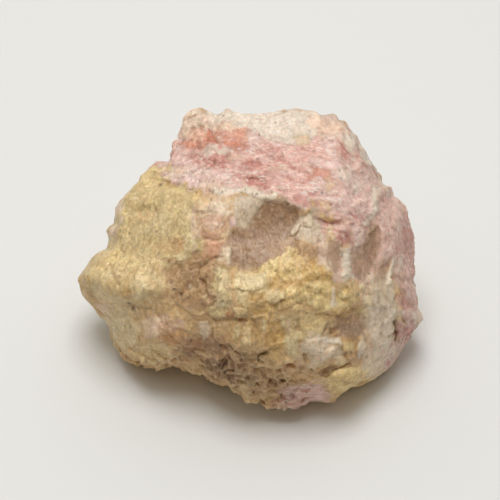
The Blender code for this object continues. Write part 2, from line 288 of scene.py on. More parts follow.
# How each tone's mineral breaks: fibrous like tourmaline, glassy like quartz, gritty grains.
# What is left over breaks in blocks, like feldspar.
NATURES = {
    "cream_skin": (0.25, 0.65, 0.1),
    "peach": (0.35, 0.55, 0.1),
    "salmon": (0.3, 0.7, 0.0),
    "rose": (1.0, 0.0, 0.0),
    "deep_rose": (0.6, 0.4, 0.0),
    "pale_pink": (0.8, 0.2, 0.0),
    "lilac": (0.6, 0.3, 0.1),
    "white_crust": (0.2, 0.0, 0.8),
    "smoky_quartz": (0.0, 1.0, 0.0),
    "grey_quartz": (0.0, 1.0, 0.0),
    "milky_quartz": (0.35, 0.5, 0.15),
    "peach_quartz": (0.1, 0.7, 0.2),
    "khaki": (0.1, 0.35, 0.45),
    "yellow": (0.0, 0.1, 0.2),
    "honey": (0.0, 0.1, 0.2),
    "cream": (0.0, 0.1, 0.1),
    "ochre": (0.0, 0.0, 0.5),
    "rust": (0.0, 0.0, 0.6),
    "tan": (0.0, 0.2, 0.7),
    "brown": (0.0, 0.1, 0.9),
    "dark_brown": (0.0, 0.0, 1.0),
    "grey_green": (0.0, 0.2, 0.7),
    "pit": (0.0, 0.0, 1.0),
}

# Patches of mineral, laid over each other in order: tone, across, up, half-sizes, turn in
# degrees, cover. The first ones are broad zones.
PATCHES = (
    ("tan", 0.0, 0.0, 45.0, 45.0, 0, 1.0),
    # left swelling, knob and belly
    ("khaki", -17.0, 6.0, 10.0, 10.0, 0, 1.0),
    ("tan", -20.0, -7.0, 12.0, 6.0, 0, 1.0),
    ("khaki", -22.0, -3.0, 8.0, 5.0, 0, 0.8),
    ("grey_green", -22.5, -12.5, 4.5, 4.0, 0, 0.8),
    ("tan", -17.0, -16.0, 8.0, 4.0, 0, 0.9),
    # brown grains in the hollow, and the bottom
    ("brown", -9.0, -3.5, 5.5, 5.0, -20, 0.9),
    ("brown", -6.0, -15.5, 6.0, 3.5, -10, 0.9),
    ("tan", -3.0, -21.5, 8.0, 3.5, -20, 0.9),
    ("tan", 5.0, -19.0, 6.0, 4.0, 0, 0.9),
    # panel under the shelf
    ("honey", 2.0, -12.5, 5.5, 4.5, 0, 0.7),
    ("tan", 1.0, -12.5, 3.2, 4.0, 0, 0.6),
    ("khaki", 10.0, -11.5, 5.0, 3.0, 0, 0.9),
    # quartz in the middle
    ("smoky_quartz", 2.0, 3.0, 7.0, 5.0, 10, 0.9),
    ("peach_quartz", -6.0, 7.0, 3.8, 5.0, 0, 1.0),
    ("smoky_quartz", 4.5, 7.0, 5.0, 3.6, 0, 1.0),
    ("grey_quartz", -0.9, 8.6, 1.9, 3.6, -8, 1.0),
    ("grey_quartz", 10.3, 6.0, 2.6, 3.0, 0, 1.0),
    ("lilac", 13.8, 1.6, 2.6, 4.6, 5, 0.7),
    ("grey_quartz", 13.8, 1.6, 2.2, 4.6, 5, 0.5),
    # shelf
    ("honey", 8.0, -3.6, 8.5, 3.8, -6, 1.0),
    ("cream", -4.9, -5.3, 1.5, 4.2, 2, 1.0),
    ("cream", 0.0, -4.3, 3.2, 2.8, -4, 1.0),
    ("yellow", 5.5, -1.5, 4.0, 2.0, 10, 1.0),
    ("yellow", 12.0, -6.2, 6.5, 2.6, -4, 1.0),
    ("honey", 2.0, -7.8, 3.0, 1.8, 0, 0.8),
    # right-hand quartz
    ("lilac", 20.0, 0.0, 4.0, 5.0, 0, 0.9),
    ("smoky_quartz", 19.5, -1.2, 2.5, 3.0, 0, 0.5),
    ("milky_quartz", 22.6, -9.0, 3.2, 6.5, 0, 1.0),
    ("milky_quartz", 22.6, -17.0, 3.0, 5.0, -25, 1.0),
    ("smoky_quartz", 17.5, -12.0, 3.2, 2.4, 0, 0.8),
    ("milky_quartz", 12.4, -15.4, 3.6, 2.4, -8, 1.0),
    ("tan", 11.0, -19.5, 4.0, 2.6, 0, 0.8),
    ("brown", 18.3, -17.6, 1.8, 1.6, 0, 0.7),
    ("yellow", 17.0, -21.2, 4.4, 2.6, 12, 0.9),
    ("lilac", 9.3, -23.9, 4.4, 2.6, 0, 1.0),
    ("rose", 6.0, -25.4, 2.4, 1.2, 0, 0.4),
    ("lilac", 12.4, -23.9, 1.6, 1.4, 10, 0.9),
    # pink slab, from its lip to the top and down its right-hand side
    ("rose", 2.0, 19.0, 22.0, 7.6, -3, 1.0),
    ("rose", 17.0, 9.5, 5.5, 6.0, 0, 1.0),
    ("rose", 9.5, 11.6, 5.5, 2.2, -18, 1.0),
    ("lilac", 25.5, 5.5, 4.2, 8.0, 5, 1.0),
    ("rose", 28.6, -1.0, 2.4, 16.0, 0, 0.8),
    ("rose", 26.9, -13.5, 2.0, 6.5, -28, 1.0),
    ("pale_pink", 17.0, 13.0, 7.0, 5.5, -25, 0.7),
    ("pale_pink", -9.0, 14.8, 6.0, 1.9, -12, 1.0),
    ("pale_pink", -0.2, 21.2, 1.9, 2.1, 0, 0.8),
    ("cream_skin", 0.5, 25.0, 15.0, 1.6, -1, 1.0),
    ("cream_skin", 5.5, 23.3, 6.5, 2.3, -6, 0.9),
    ("peach", -10.2, 23.4, 3.4, 2.6, 0, 1.0),
    ("peach", -3.8, 23.1, 4.2, 1.4, -4, 0.9),
    ("pale_pink", -12.4, 18.5, 1.2, 3.4, 0, 0.6),
    ("peach", 13.8, 22.9, 3.6, 1.5, -10, 0.8),
    ("cream_skin", 17.7, 21.0, 1.4, 1.6, 0, 1.0),
    ("cream_skin", 21.2, 17.0, 0.8, 5.2, 30, 0.9),
    # details of the pink slab
    ("peach", 11.2, 24.4, 1.4, 1.0, 0, 1.0),
    ("tan", 8.9, 21.1, 1.4, 0.8, -10, 0.6),
    ("pale_pink", 14.2, 24.7, 1.5, 0.6, 0, 0.8),
    ("salmon", -7.6, 21.2, 3.2, 1.7, 0, 0.6),
    ("salmon", -1.3, 22.5, 1.8, 1.0, 20, 0.6),
    ("salmon", -10.2, 20.4, 2.1, 0.9, 0, 0.9),
    ("salmon", -3.0, 20.6, 1.8, 0.8, -12, 0.9),
    ("salmon", -2.1, 19.7, 1.6, 0.8, 0, 0.8),
    ("salmon", -1.4, 19.2, 0.5, 0.8, 0, 0.7),
    ("cream_skin", -6.4, 19.2, 1.8, 0.7, -10, 0.7),
    ("cream_skin", -4.4, 19.0, 0.9, 0.8, 0, 0.7),
    ("deep_rose", -5.6, 17.2, 2.4, 1.3, 0, 0.9),
    ("deep_rose", -9.2, 17.6, 2.0, 1.0, -20, 0.7),
    ("peach", -3.0, 17.5, 1.5, 0.6, 0, 0.5),
    ("deep_rose", 0.5, 16.9, 2.2, 0.35, -3, 0.9),
    ("deep_rose", 1.3, 16.4, 1.2, 0.4, -8, 0.8),
    ("deep_rose", 3.2, 19.2, 2.4, 0.9, -12, 0.5),
    ("deep_rose", 4.8, 17.3, 1.6, 0.35, 2, 0.8),
    ("deep_rose", 7.2, 16.8, 1.2, 0.45, -10, 0.7),
    ("deep_rose", -1.0, 15.0, 1.3, 0.45, 0, 0.5),
    ("deep_rose", 1.0, 13.8, 2.0, 0.85, 0, 0.9),
    ("deep_rose", 3.1, 13.3, 1.2, 0.5, 10, 0.7),
    ("deep_rose", 3.0, 15.4, 3.6, 1.0, -6, 0.45),
    ("deep_rose", 9.9, 11.4, 1.6, 0.9, 15, 0.7),
    ("deep_rose", 9.0, 14.3, 2.2, 0.5, -10, 0.5),
    ("peach", 5.5, 16.0, 1.5, 0.6, 0, 0.5),
    ("salmon", 12.3, 15.3, 2.7, 0.9, -10, 0.75),
    ("pale_pink", 13.5, 17.3, 3.0, 1.0, -8, 0.8),
    ("pale_pink", 14.3, 20.4, 1.7, 1.2, 0, 0.9),
    ("deep_rose", 16.1, 19.7, 0.5, 1.6, 14, 0.9),
    ("lilac", 18.4, 17.9, 1.3, 1.4, 20, 0.8),
    ("deep_rose", 19.6, 16.6, 0.9, 0.6, -40, 0.5),
    ("cream_skin", 16.6, 15.0, 1.6, 1.3, 0, 0.7),
    ("cream_skin", 18.8, 13.4, 1.2, 1.4, 0, 0.5),
    ("lilac", 21.3, 13.6, 0.9, 0.8, 0, 0.8),
    ("deep_rose", 21.6, 15.0, 1.2, 0.5, -40, 0.5),
    ("tan", 13.7, 13.1, 1.0, 0.9, 0, 0.5),
    ("tan", 13.3, 9.6, 2.0, 0.8, -8, 0.6),
    ("peach", -12.6, 15.6, 1.5, 0.8, 0, 0.7),
    ("peach", -7.0, 13.2, 2.0, 0.7, -10, 0.7),
    ("cream_skin", 21.8, 10.4, 0.6, 2.2, -3, 0.9),
    ("cream_skin", 20.9, 7.6, 0.6, 1.4, -30, 0.7),
    ("deep_rose", 23.4, 10.2, 0.9, 1.2, 0, 0.4),
    ("deep_rose", 27.3, 4.3, 0.9, 1.5, 0, 0.8),
    ("deep_rose", 26.1, 2.2, 0.8, 1.4, 10, 0.6),
    ("rose", 27.8, 2.0, 1.3, 8.0, 3, 0.9),
    ("deep_rose", 27.9, 4.5, 0.8, 3.4, 0, 0.6),
    ("deep_rose", 26.4, 6.8, 1.0, 1.0, 0, 0.4),
    ("cream_skin", 25.9, 5.5, 0.6, 2.6, 5, 0.4),
    ("deep_rose", 16.9, 3.9, 1.5, 0.9, 0, 0.9),
    ("deep_rose", 18.4, 7.5, 0.9, 0.4, -10, 0.8),
    ("peach", 16.6, 6.3, 1.6, 0.8, 0, 0.4),
    ("pale_pink", 18.9, 4.8, 0.8, 1.6, 10, 0.9),
    ("deep_rose", 24.0, 5.2, 1.8, 0.3, -10, 0.4),
    # painted shade in the hollow beside the right-hand ridge
    ("brown", 20.8, 5.0, 0.6, 1.0, 0, 0.7),
    ("brown", 21.0, 3.2, 1.0, 1.9, 0, 0.6),
    # details of the middle quartz
    ("white_crust", -5.6, 9.5, 2.0, 1.6, 0, 0.5),
    ("peach", -6.3, 6.9, 1.9, 1.6, 0, 0.9),
    ("salmon", -6.8, 3.6, 2.4, 1.1, 0, 0.35),
    ("salmon", -7.0, 1.3, 1.6, 0.8, 0, 0.35),
    ("milky_quartz", -4.4, 1.2, 0.9, 2.0, 10, 0.6),
    ("smoky_quartz", -2.4, 3.2, 2.2, 1.3, 20, 0.8),
    ("smoky_quartz", -1.8, 1.0, 1.4, 1.0, 0, 0.9),
    ("smoky_quartz", -1.6, -0.9, 1.8, 0.8, 0, 0.7),
    ("brown", 6.8, 8.7, 1.8, 0.9, -20, 0.3),
    ("milky_quartz", 4.2, 5.1, 0.9, 0.4, 10, 0.5),
    ("cream", 14.2, 5.5, 0.6, 0.9, 0, 0.7),
    ("yellow", 14.2, 3.7, 0.8, 1.2, 0, 0.5),
    ("tan", 13.5, 7.6, 2.0, 0.5, -8, 0.9),
    ("brown", 10.3, 1.7, 2.0, 1.5, -15, 0.8),
    ("rust", 9.6, -0.8, 1.8, 0.6, -8, 0.25),
    ("ochre", 11.2, -2.6, 1.6, 0.9, 0, 0.5),
    ("ochre", 8.0, -3.8, 2.0, 0.6, 5, 0.5),
    ("ochre", 4.5, -4.2, 2.4, 0.4, 6, 0.5),
    ("ochre", 17.2, -8.7, 1.5, 0.9, -5, 0.9),
    ("brown", 17.4, -8.7, 0.9, 0.6, 0, 0.6),
    ("ochre", 14.0, -9.3, 2.0, 0.4, 0, 0.7),
    ("yellow", 19.4, -9.0, 1.3, 0.7, 0, 0.8),
    # details of the right-hand quartz
    ("white_crust", 16.7, -1.4, 0.6, 2.5, 2, 0.85),
    ("white_crust", 25.2, -2.1, 0.35, 2.3, -24, 0.9),
    ("white_crust", 26.4, -1.0, 0.22, 1.2, -12, 0.7),
    ("pale_pink", 15.1, -2.6, 0.6, 1.6, 0, 0.6),
    ("milky_quartz", 13.4, -0.7, 1.0, 0.8, 0, 0.7),
    ("grey_green", 18.9, 0.6, 0.9, 0.7, 0, 0.5),
    ("milky_quartz", 24.4, -11.3, 0.6, 2.0, 5, 0.9),
    ("white_crust", 25.0, -9.1, 0.3, 0.4, 0, 0.9),
    # painted shade in the recesses at the right
    ("brown", 25.2, -12.2, 0.45, 1.9, 3, 0.8),
    ("brown", 26.7, -10.9, 0.5, 0.7, 0, 0.7),
    ("deep_rose", 27.6, -12.2, 1.7, 1.6, 30, 0.9),
    ("pale_pink", 28.9, -9.8, 1.0, 1.2, 0, 0.7),
    ("deep_rose", 26.6, -7.0, 1.5, 1.2, 0, 0.7),
    ("pale_pink", 28.4, -5.8, 0.8, 1.2, 0, 0.7),
    ("deep_rose", 26.3, -16.0, 0.8, 2.2, -28, 0.6),
    ("white_crust", 19.6, -16.6, 0.35, 0.35, 0, 0.9),
    ("lilac", 20.8, -14.8, 0.5, 1.5, 0, 0.5),
    ("brown", 14.8, -12.2, 1.3, 0.6, 5, 0.8),
    ("white_crust", 10.3, -15.6, 0.6, 0.6, 0, 0.7),
    ("grey_green", 9.9, -14.8, 0.3, 0.5, 0, 0.9),
    ("grey_green", 11.9, -15.6, 0.6, 0.5, 0, 0.6),
    ("ochre", 16.2, -15.6, 1.2, 0.4, -10, 0.7),
    ("brown", 16.5, -16.6, 0.5, 0.6, 0, 0.8),
    ("ochre", 12.0, -18.7, 1.6, 0.7, 0, 0.5),
    # details of the panel and the bottom
    ("khaki", -5.5, -9.0, 1.5, 1.0, 0, 0.9),
    ("rust", -3.7, -9.3, 0.6, 0.5, 0, 0.7),
    ("grey_quartz", -7.6, -11.7, 0.7, 0.6, 0, 0.7),
    ("tan", -5.5, -12.0, 3.0, 1.2, 0, 0.7),
    ("khaki", 7.0, -13.6, 1.1, 2.4, 0, 0.9),
    ("dark_brown", -6.0, -14.9, 3.6, 0.9, 0, 0.4),
    ("dark_brown", -4.4, -19.0, 4.4, 2.2, -20, 0.75),
    ("brown", 1.0, -20.5, 5.0, 2.6, -25, 0.7),
    ("rust", -9.4, -14.6, 1.5, 1.2, 0, 0.35),
    ("tan", -7.6, -17.0, 1.4, 0.9, 0, 0.8),
    ("khaki", -0.9, -22.0, 0.9, 1.4, 0, 0.7),
    ("rust", 5.9, -18.3, 0.8, 0.6, 0, 0.7),
    ("khaki", 7.8, -16.5, 0.8, 0.8, 0, 0.7),
    ("brown", 7.0, -21.3, 2.4, 0.8, 0, 0.6),
    ("dark_brown", -3.0, -19.0, 1.8, 0.5, 8, 0.6),
    ("dark_brown", 1.0, -20.6, 1.4, 0.5, -25, 0.5),
    ("dark_brown", -1.2, -16.2, 2.6, 0.3, -8, 0.6),
    # details of the left
    ("yellow", -17.2, 15.6, 1.4, 0.8, 20, 0.9),
    ("cream", -15.0, 16.3, 1.8, 0.7, 0, 0.8),
    ("ochre", -13.9, 13.6, 1.0, 0.5, -30, 0.7),
    ("brown", -15.6, 13.1, 0.4, 0.3, 0, 0.7),
    ("peach", -23.1, 8.8, 1.0, 1.8, 0, 0.7),
    ("peach", -24.3, 4.9, 0.9, 1.2, 0, 0.8),
    ("tan", -18.2, 8.2, 1.9, 0.8, 22, 0.7),
    ("grey_green", -15.2, 7.0, 2.0, 1.6, 0, 0.6),
    ("yellow", -22.5, 0.7, 2.2, 1.3, 10, 0.6),
    ("cream", -18.8, 2.3, 1.0, 0.7, 0, 0.5),
    ("tan", -14.3, 2.2, 2.0, 1.1, 0, 0.7),
    ("rust", -12.3, 2.8, 0.5, 0.9, 0, 0.35),
    ("cream", -11.3, 5.8, 1.0, 4.0, 0, 0.5),
    ("peach", -9.6, 6.3, 0.6, 3.2, 0, 0.7),
    ("yellow", -9.4, 11.3, 0.8, 1.1, 0, 0.6),
    ("cream", -12.4, 0.6, 1.0, 0.7, 20, 0.9),
    ("cream", -16.0, -0.4, 0.35, 0.7, 10, 0.9),
    ("brown", -14.6, 0.1, 1.3, 0.35, -6, 0.8),
    ("yellow", -27.3, -1.7, 1.6, 0.8, 20, 0.7),
    ("tan", -28.7, -4.4, 1.4, 1.3, 0, 0.9),
    # painted shade in the knob's dent
    ("brown", -27.3, -4.9, 0.6, 0.4, 0, 0.8),
    ("ochre", -27.7, -6.5, 1.0, 0.9, 0, 0.6),
    ("cream", -25.3, -2.3, 1.5, 0.8, 0, 0.5),
    ("cream", -18.8, -4.0, 1.3, 1.7, 0, 0.9),
    ("cream", -19.3, -5.9, 1.5, 0.7, 0, 0.5),
    ("ochre", -21.5, -5.6, 0.9, 0.6, 0, 0.6),
    ("cream", -16.3, -3.3, 2.2, 0.35, -45, 0.8),
    ("peach", -25.6, -8.8, 1.3, 1.2, 0, 0.5),
    ("yellow", -22.6, -8.9, 1.5, 0.6, 0, 0.5),
    ("peach", -14.3, -10.6, 2.4, 1.4, 0, 0.6),
    ("rust", -14.0, -13.7, 2.2, 1.0, 0, 0.35),
    ("dark_brown", -11.5, -16.2, 2.0, 0.7, 0, 0.5),
    ("khaki", -18.0, -15.4, 3.2, 1.2, 0, 0.5),
    ("ochre", -20.3, -16.9, 1.6, 0.6, 0, 0.5),
    ("brown", -12.0, -2.6, 2.6, 1.9, -15, 0.6),
    ("milky_quartz", -10.6, -4.9, 0.35, 0.35, 0, 0.8),
    ("milky_quartz", -17.3, -8.6, 0.2, 0.5, 20, 0.8),
)
# Crystal faces with straight borders: tone, cover, how far the face stands proud, corners in
# order round an outline with no hollow.
PANES = (
    (
        "cream_skin", 0.75, 0.1,
        ((-3.2, 24.8), (1.0, 25.2), (9.0, 24.5), (12.0, 22.5), (10.5, 20.6), (7.0, 20.0), (2.5, 21.4)),
    ),
    ("tan", 0.5, 0.0, ((7.6, 21.6), (10.2, 21.9), (10.4, 20.5), (8.0, 20.3))),
    (
        "salmon", 0.6, 0.05,
        ((-4.6, 22.6), (-0.7, 23.4), (-1.0, 22.0), (-1.6, 19.8), (-3.6, 19.6), (-4.6, 20.8)),
    ),
    ("salmon", 1.0, -0.1, ((-7.4, 23.1), (-8.3, 20.9), (-5.0, 20.2))),
    ("deep_rose", 0.6, -0.1, ((-7.2, 18.2), (-4.6, 18.0), (-4.0, 16.2), (-6.2, 15.8), (-7.4, 16.8))),
    ("deep_rose", 0.8, -0.15, ((-1.2, 14.2), (1.2, 14.6), (3.2, 13.8), (2.2, 12.9), (0.0, 12.9))),
    ("deep_rose", 0.7, -0.1, ((-1.6, 17.1), (1.8, 17.3), (2.2, 16.6), (0.6, 16.2))),
    # quartz in the middle
    (
        "smoky_quartz", 0.8, 0.0,
        ((3.0, 10.5), (6.5, 10.2), (8.6, 9.2), (8.4, 7.0), (7.0, 5.6), (3.0, 4.6), (-0.8, 4.8)),
    ),
    ("brown", 0.2, 0.0, ((6.0, 10.0), (8.8, 9.2), (8.6, 7.8), (6.5, 8.6))),
    ("brown", 0.35, 0.0, ((-3.2, 4.4), (2.0, 4.6), (4.2, 1.4), (1.8, -0.8), (-2.6, -0.2))),
    ("brown", 0.12, 0.0, ((3.0, 10.4), (5.6, 10.2), (5.4, 6.4), (0.2, 5.2))),
    (
        "smoky_quartz", 0.8, 0.0,
        ((-4.8, 4.8), (-1.0, 4.8), (3.0, 4.4), (4.6, 1.2), (1.8, -1.2), (-3.0, -0.6), (-3.4, 2.4)),
    ),
    ("grey_quartz", 0.9, 0.15, ((-2.9, 11.4), (3.0, 10.8), (-1.0, 5.5), (-2.6, 6.0))),
    ("milky_quartz", 0.7, 0.25, ((7.0, 5.2), (8.8, 6.8), (8.4, 5.2), (7.4, 4.2))),
    ("milky_quartz", 0.8, 0.15, ((9.3, 7.2), (10.2, 8.6), (11.0, 7.6), (10.8, 5.8), (9.6, 6.0))),
    ("grey_quartz", 0.5, 0.1, ((8.2, 3.6), (10.2, 5.8), (12.5, 6.5), (12.6, 3.5), (10.6, 2.6))),
    ("brown", 0.55, 0.15, ((8.8, 3.0), (10.6, 2.8), (12.0, 1.6), (11.4, 0.2), (9.8, -0.2), (9.2, 1.4))),
    ("salmon", 0.3, 0.1, ((-8.2, 3.3), (-4.8, 3.4), (-5.0, 2.0), (-5.6, 0.7), (-8.0, 0.6))),
    ("milky_quartz", 0.7, 0.2, ((-4.8, 2.2), (-3.4, 2.6), (-3.3, -0.6), (-4.4, -0.8))),
    ("pale_pink", 0.9, 0.15, ((-3.9, 7.4), (-2.6, 7.6), (-2.2, 5.9), (-3.4, 6.0))),
    # cream blocks
    (
        "cream", 0.85, 0.35,
        ((-5.1, -2.1), (-4.0, -2.4), (-3.8, -5.2), (-4.2, -8.0), (-6.2, -8.3), (-5.7, -5.0)),
    ),
    (
        "tan", 0.7, 0.15,
        ((-3.8, -2.6), (-2.7, -2.5), (-2.3, -6.5), (-1.8, -8.0), (-3.4, -8.0), (-3.9, -4.8)),
    ),
    (
        "cream", 0.9, 0.4,
        ((-2.6, -2.4), (0.0, -2.1), (2.8, -2.5), (2.4, -4.8), (0.6, -5.4), (-1.6, -5.3), (-2.5, -4.5)),
    ),
    ("cream", 0.5, 0.25, ((-2.4, -5.4), (-0.4, -5.6), (-0.3, -8.1), (-1.6, -8.2), (-2.2, -6.6))),
    ("khaki", 0.8, 0.3, ((-7.0, -8.2), (-4.6, -8.1), (-4.4, -9.9), (-7.0, -9.9))),
    ("rust", 0.5, 0.15, ((-4.3, -8.8), (-3.3, -8.8), (-3.3, -9.9), (-4.3, -9.9))),
    ("khaki", 0.6, 0.25, ((-3.2, -8.1), (-0.6, -8.3), (-0.4, -10.0), (-2.6, -9.9))),
    # honey shelf
    ("ochre", 0.7, -0.2, ((0.1, -5.9), (2.6, -5.7), (2.6, -7.0), (1.1, -7.4), (0.0, -7.0))),
    ("cream", 0.6, 0.2, ((3.2, -5.4), (6.0, -5.2), (6.2, -6.6), (4.4, -7.8), (3.2, -7.2))),
    ("yellow", 0.8, 0.15, ((4.2, -0.2), (6.8, 1.0), (7.6, -0.6), (7.2, -3.0), (5.0, -2.2), (4.3, -1.2))),
    ("cream", 0.8, 0.2, ((5.7, 0.4), (6.8, 1.1), (7.2, 0.2), (5.9, 0.0))),
    ("honey", 0.6, 0.05, ((7.6, -0.6), (12.4, -0.8), (12.2, -2.8), (10.0, -3.4), (8.0, -1.9))),
    ("ochre", 0.4, -0.1, ((3.0, -4.1), (9.0, -3.5), (9.0, -5.0), (4.5, -5.0))),
    (
        "yellow", 0.9, 0.3,
        ((9.2, -5.9), (11.8, -5.4), (12.4, -6.4), (12.6, -8.3), (10.5, -8.6), (9.9, -7.0)),
    ),
    ("yellow", 0.6, 0.2, ((12.2, -3.9), (14.1, -3.6), (14.0, -5.6), (13.0, -6.0), (12.4, -5.2))),
    ("white_crust", 0.7, 0.3, ((14.3, -4.9), (14.9, -4.8), (14.9, -7.6), (14.0, -7.9))),
    ("yellow", 0.7, 0.15, ((15.2, -5.4), (17.4, -5.8), (18.6, -7.2), (16.5, -7.6), (15.2, -7.2))),
    ("cream", 0.8, 0.3, ((18.7, -4.2), (20.0, -4.4), (20.2, -5.6), (19.2, -5.2))),
    ("cream", 0.6, 0.2, ((20.2, -6.2), (21.3, -6.6), (21.5, -8.0), (20.2, -8.2))),
    ("peach_quartz", 0.35, 0.1, ((14.2, -4.6), (16.4, -2.4), (17.0, -4.2), (15.0, -5.8))),
    # quartz down the right-hand side
    ("white_crust", 0.6, 0.2, ((15.8, 2.2), (17.8, 2.4), (17.6, -3.0), (16.2, -3.8))),
    ("smoky_quartz", 0.6, -0.1, ((18.2, 2.4), (20.6, 2.8), (21.6, -0.8), (20.2, -3.6), (18.1, -2.8))),
    ("lilac", 0.6, 0.15, ((22.9, 5.4), (24.6, 5.0), (25.0, 1.0), (23.4, -1.0), (22.6, 1.6))),
    ("smoky_quartz", 0.6, -0.1, ((20.8, 4.6), (22.6, 6.4), (23.0, 2.6), (22.2, 0.2), (20.8, 1.0))),
    ("smoky_quartz", 0.6, 0.0, ((13.6, 3.4), (15.6, 3.4), (16.0, -0.6), (15.0, -2.4), (13.4, -0.4))),
    ("smoky_quartz", 0.5, 0.0, ((21.8, -0.8), (24.6, 0.6), (23.8, -3.4), (21.4, -4.2))),
    ("grey_quartz", 0.8, 0.2, ((20.8, -5.6), (23.0, -4.6), (24.7, -5.4), (24.5, -8.4), (21.6, -8.0))),
    ("white_crust", 0.6, 0.05, ((20.6, -8.2), (24.9, -7.2), (24.3, -12.8), (21.2, -12.8))),
    ("white_crust", 0.9, 0.3, ((23.9, -8.8), (25.3, -8.4), (24.6, -12.4), (23.2, -13.4), (23.3, -11.0))),
    ("white_crust", 0.8, 0.25, ((25.0, 0.8), (25.6, 0.4), (24.5, -3.8), (23.9, -4.4))),
    ("lilac", 0.5, 0.0, ((25.6, -0.8), (27.4, -0.6), (27.6, -4.8), (25.2, -4.6))),
    # painted shade in the recesses at the right
    ("dark_brown", 0.75, -0.7, ((24.8, -10.7), (25.6, -10.4), (25.8, -12.4), (25.3, -14.0), (24.7, -13.0))),
    ("brown", 0.7, -0.3, ((26.3, -10.2), (27.1, -10.0), (27.0, -11.4), (26.4, -11.6))),
    ("white_crust", 0.5, 0.15, ((21.2, -12.8), (25.0, -13.4), (25.6, -17.0), (21.6, -17.4))),
    ("milky_quartz", 0.8, 0.1, ((21.8, -17.6), (24.2, -17.0), (23.0, -19.4), (21.0, -20.4))),
    ("white_crust", 0.45, 0.0, ((25.0, -14.8), (27.2, -14.2), (27.4, -17.0), (24.6, -18.4))),
    # belly and knob
    (
        "grey_green", 0.7, 0.2,
        ((-24.2, -10.4), (-21.2, -9.6), (-19.0, -11.4), (-19.6, -14.6), (-22.2, -15.6), (-24.0, -13.4)),
    ),
    ("peach", 0.5, 0.15, ((-18.8, -10.6), (-16.6, -9.4), (-14.8, -10.8), (-16.0, -13.4), (-18.4, -13.6))),
    ("rust", 0.3, 0.0, ((-16.2, -10.6), (-12.4, -10.2), (-11.0, -13.2), (-13.0, -15.4), (-15.6, -13.8))),
    ("khaki", 0.6, 0.15, ((-19.8, -15.0), (-14.8, -14.4), (-13.4, -16.6), (-17.6, -18.2))),
    ("milky_quartz", 0.6, 0.3, ((-9.2, -10.8), (-7.4, -10.6), (-6.8, -12.6), (-8.2, -14.0))),
    ("khaki", 0.6, 0.2, ((-29.6, -2.8), (-27.0, -0.8), (-25.4, -2.2), (-27.2, -5.4), (-28.8, -5.6))),
    ("cream", 0.6, 0.25, ((-19.8, -1.8), (-17.8, -2.2), (-17.2, -5.2), (-19.4, -6.2), (-20.4, -4.0))),
    # panel under the shelf
    ("cream", 0.8, 0.2, ((2.0, -10.4), (2.9, -10.4), (2.9, -12.4), (2.1, -12.5))),
    (
        "ochre", 0.75, -0.2,
        ((3.0, -10.8), (5.2, -10.4), (6.0, -12.0), (5.8, -15.5), (4.0, -15.6), (2.4, -15.2)),
    ),
    ("cream", 0.85, 0.25, ((5.4, -9.6), (6.2, -9.8), (6.0, -11.6), (5.4, -11.6))),
    ("peach", 0.6, 0.1, ((6.3, -10.0), (7.0, -10.2), (7.0, -12.4), (6.4, -12.2))),
    (
        "cream", 0.9, 0.3,
        ((6.5, -12.2), (8.0, -12.2), (8.6, -14.8), (7.9, -16.8), (6.6, -16.2), (6.2, -14.0)),
    ),
    ("khaki", 0.9, 0.2, ((-2.9, -11.2), (-1.6, -11.0), (-1.7, -13.4), (-2.8, -13.6))),
    ("khaki", 0.6, 0.25, ((-1.4, -10.8), (0.0, -10.6), (0.1, -14.8), (-1.2, -14.8))),
    ("peach_quartz", 0.5, 0.15, ((-4.8, -10.6), (-3.9, -10.5), (-4.0, -11.6), (-4.8, -11.8))),
    # lower right
    ("smoky_quartz", 0.7, 0.0, ((15.2, -11.2), (19.8, -11.2), (20.0, -13.0), (16.0, -13.2))),
    ("dark_brown", 0.6, -0.3, ((13.8, -12.9), (14.0, -11.8), (15.6, -11.9), (14.6, -12.9))),
    (
        "milky_quartz", 0.7, 0.15,
        ((9.3, -14.2), (12.6, -13.6), (13.4, -14.6), (12.8, -16.4), (11.0, -16.6), (9.8, -15.8)),
    ),
    ("white_crust", 0.8, 0.15, ((12.9, -13.5), (15.5, -13.6), (15.7, -14.5), (13.4, -14.4))),
    ("yellow", 0.8, 0.25, ((16.1, -14.3), (18.1, -14.5), (18.0, -15.9), (16.2, -15.6))),
    ("ochre", 0.6, 0.1, ((15.6, -13.6), (17.6, -13.6), (17.4, -14.3), (16.0, -14.4))),
    ("white_crust", 0.7, 0.25, ((19.2, -14.0), (20.1, -14.2), (19.9, -16.0), (19.0, -16.9), (18.7, -15.6))),
    ("grey_green", 0.6, 0.15, ((14.9, -17.0), (16.0, -16.6), (16.9, -17.9), (15.8, -18.3), (15.0, -18.0))),
    # painted shadow in the hollow beside the yellow foot
    ("dark_brown", 0.6, -0.3, ((11.6, -19.6), (14.2, -18.0), (15.4, -18.4), (15.4, -19.4), (13.2, -20.6))),
    # touches laid over the rest: panel, shelf, foot, knob, right tip, top left, bottom
    ("ochre", 0.3, -0.1, ((0.4, -11.0), (1.6, -11.0), (1.8, -14.6), (0.6, -14.8))),
    ("cream", 0.7, 0.2, ((-5.8, -2.6), (-3.4, -2.4), (-3.1, -7.0), (-5.6, -7.4))),
    ("cream", 0.5, 0.1, ((2.4, -5.0), (5.4, -5.0), (6.2, -6.8), (4.0, -7.8), (2.2, -6.6))),
    ("ochre", 0.65, 0.0, ((14.6, -19.6), (19.4, -19.4), (19.0, -22.0), (14.8, -22.2))),
    ("honey", 0.6, 0.0, ((-30.4, -2.6), (-27.8, -2.6), (-27.8, -5.2), (-29.8, -5.4))),
    ("pale_pink", 0.6, 0.1, ((26.6, -8.8), (29.4, -8.4), (30.6, -10.4), (28.6, -12.0), (27.0, -11.4))),
    ("white_crust", 0.6, 0.05, ((28.2, -9.0), (29.8, -8.6), (30.8, -10.4), (28.8, -11.6))),
    ("white_crust", 0.4, 0.05, ((-12.4, 25.4), (-8.6, 26.4), (-8.0, 23.6), (-12.0, 22.6))),
    ("dark_brown", 0.4, -0.1, ((-6.6, -18.2), (-3.0, -17.8), (-2.0, -20.2), (-5.6, -20.8))),
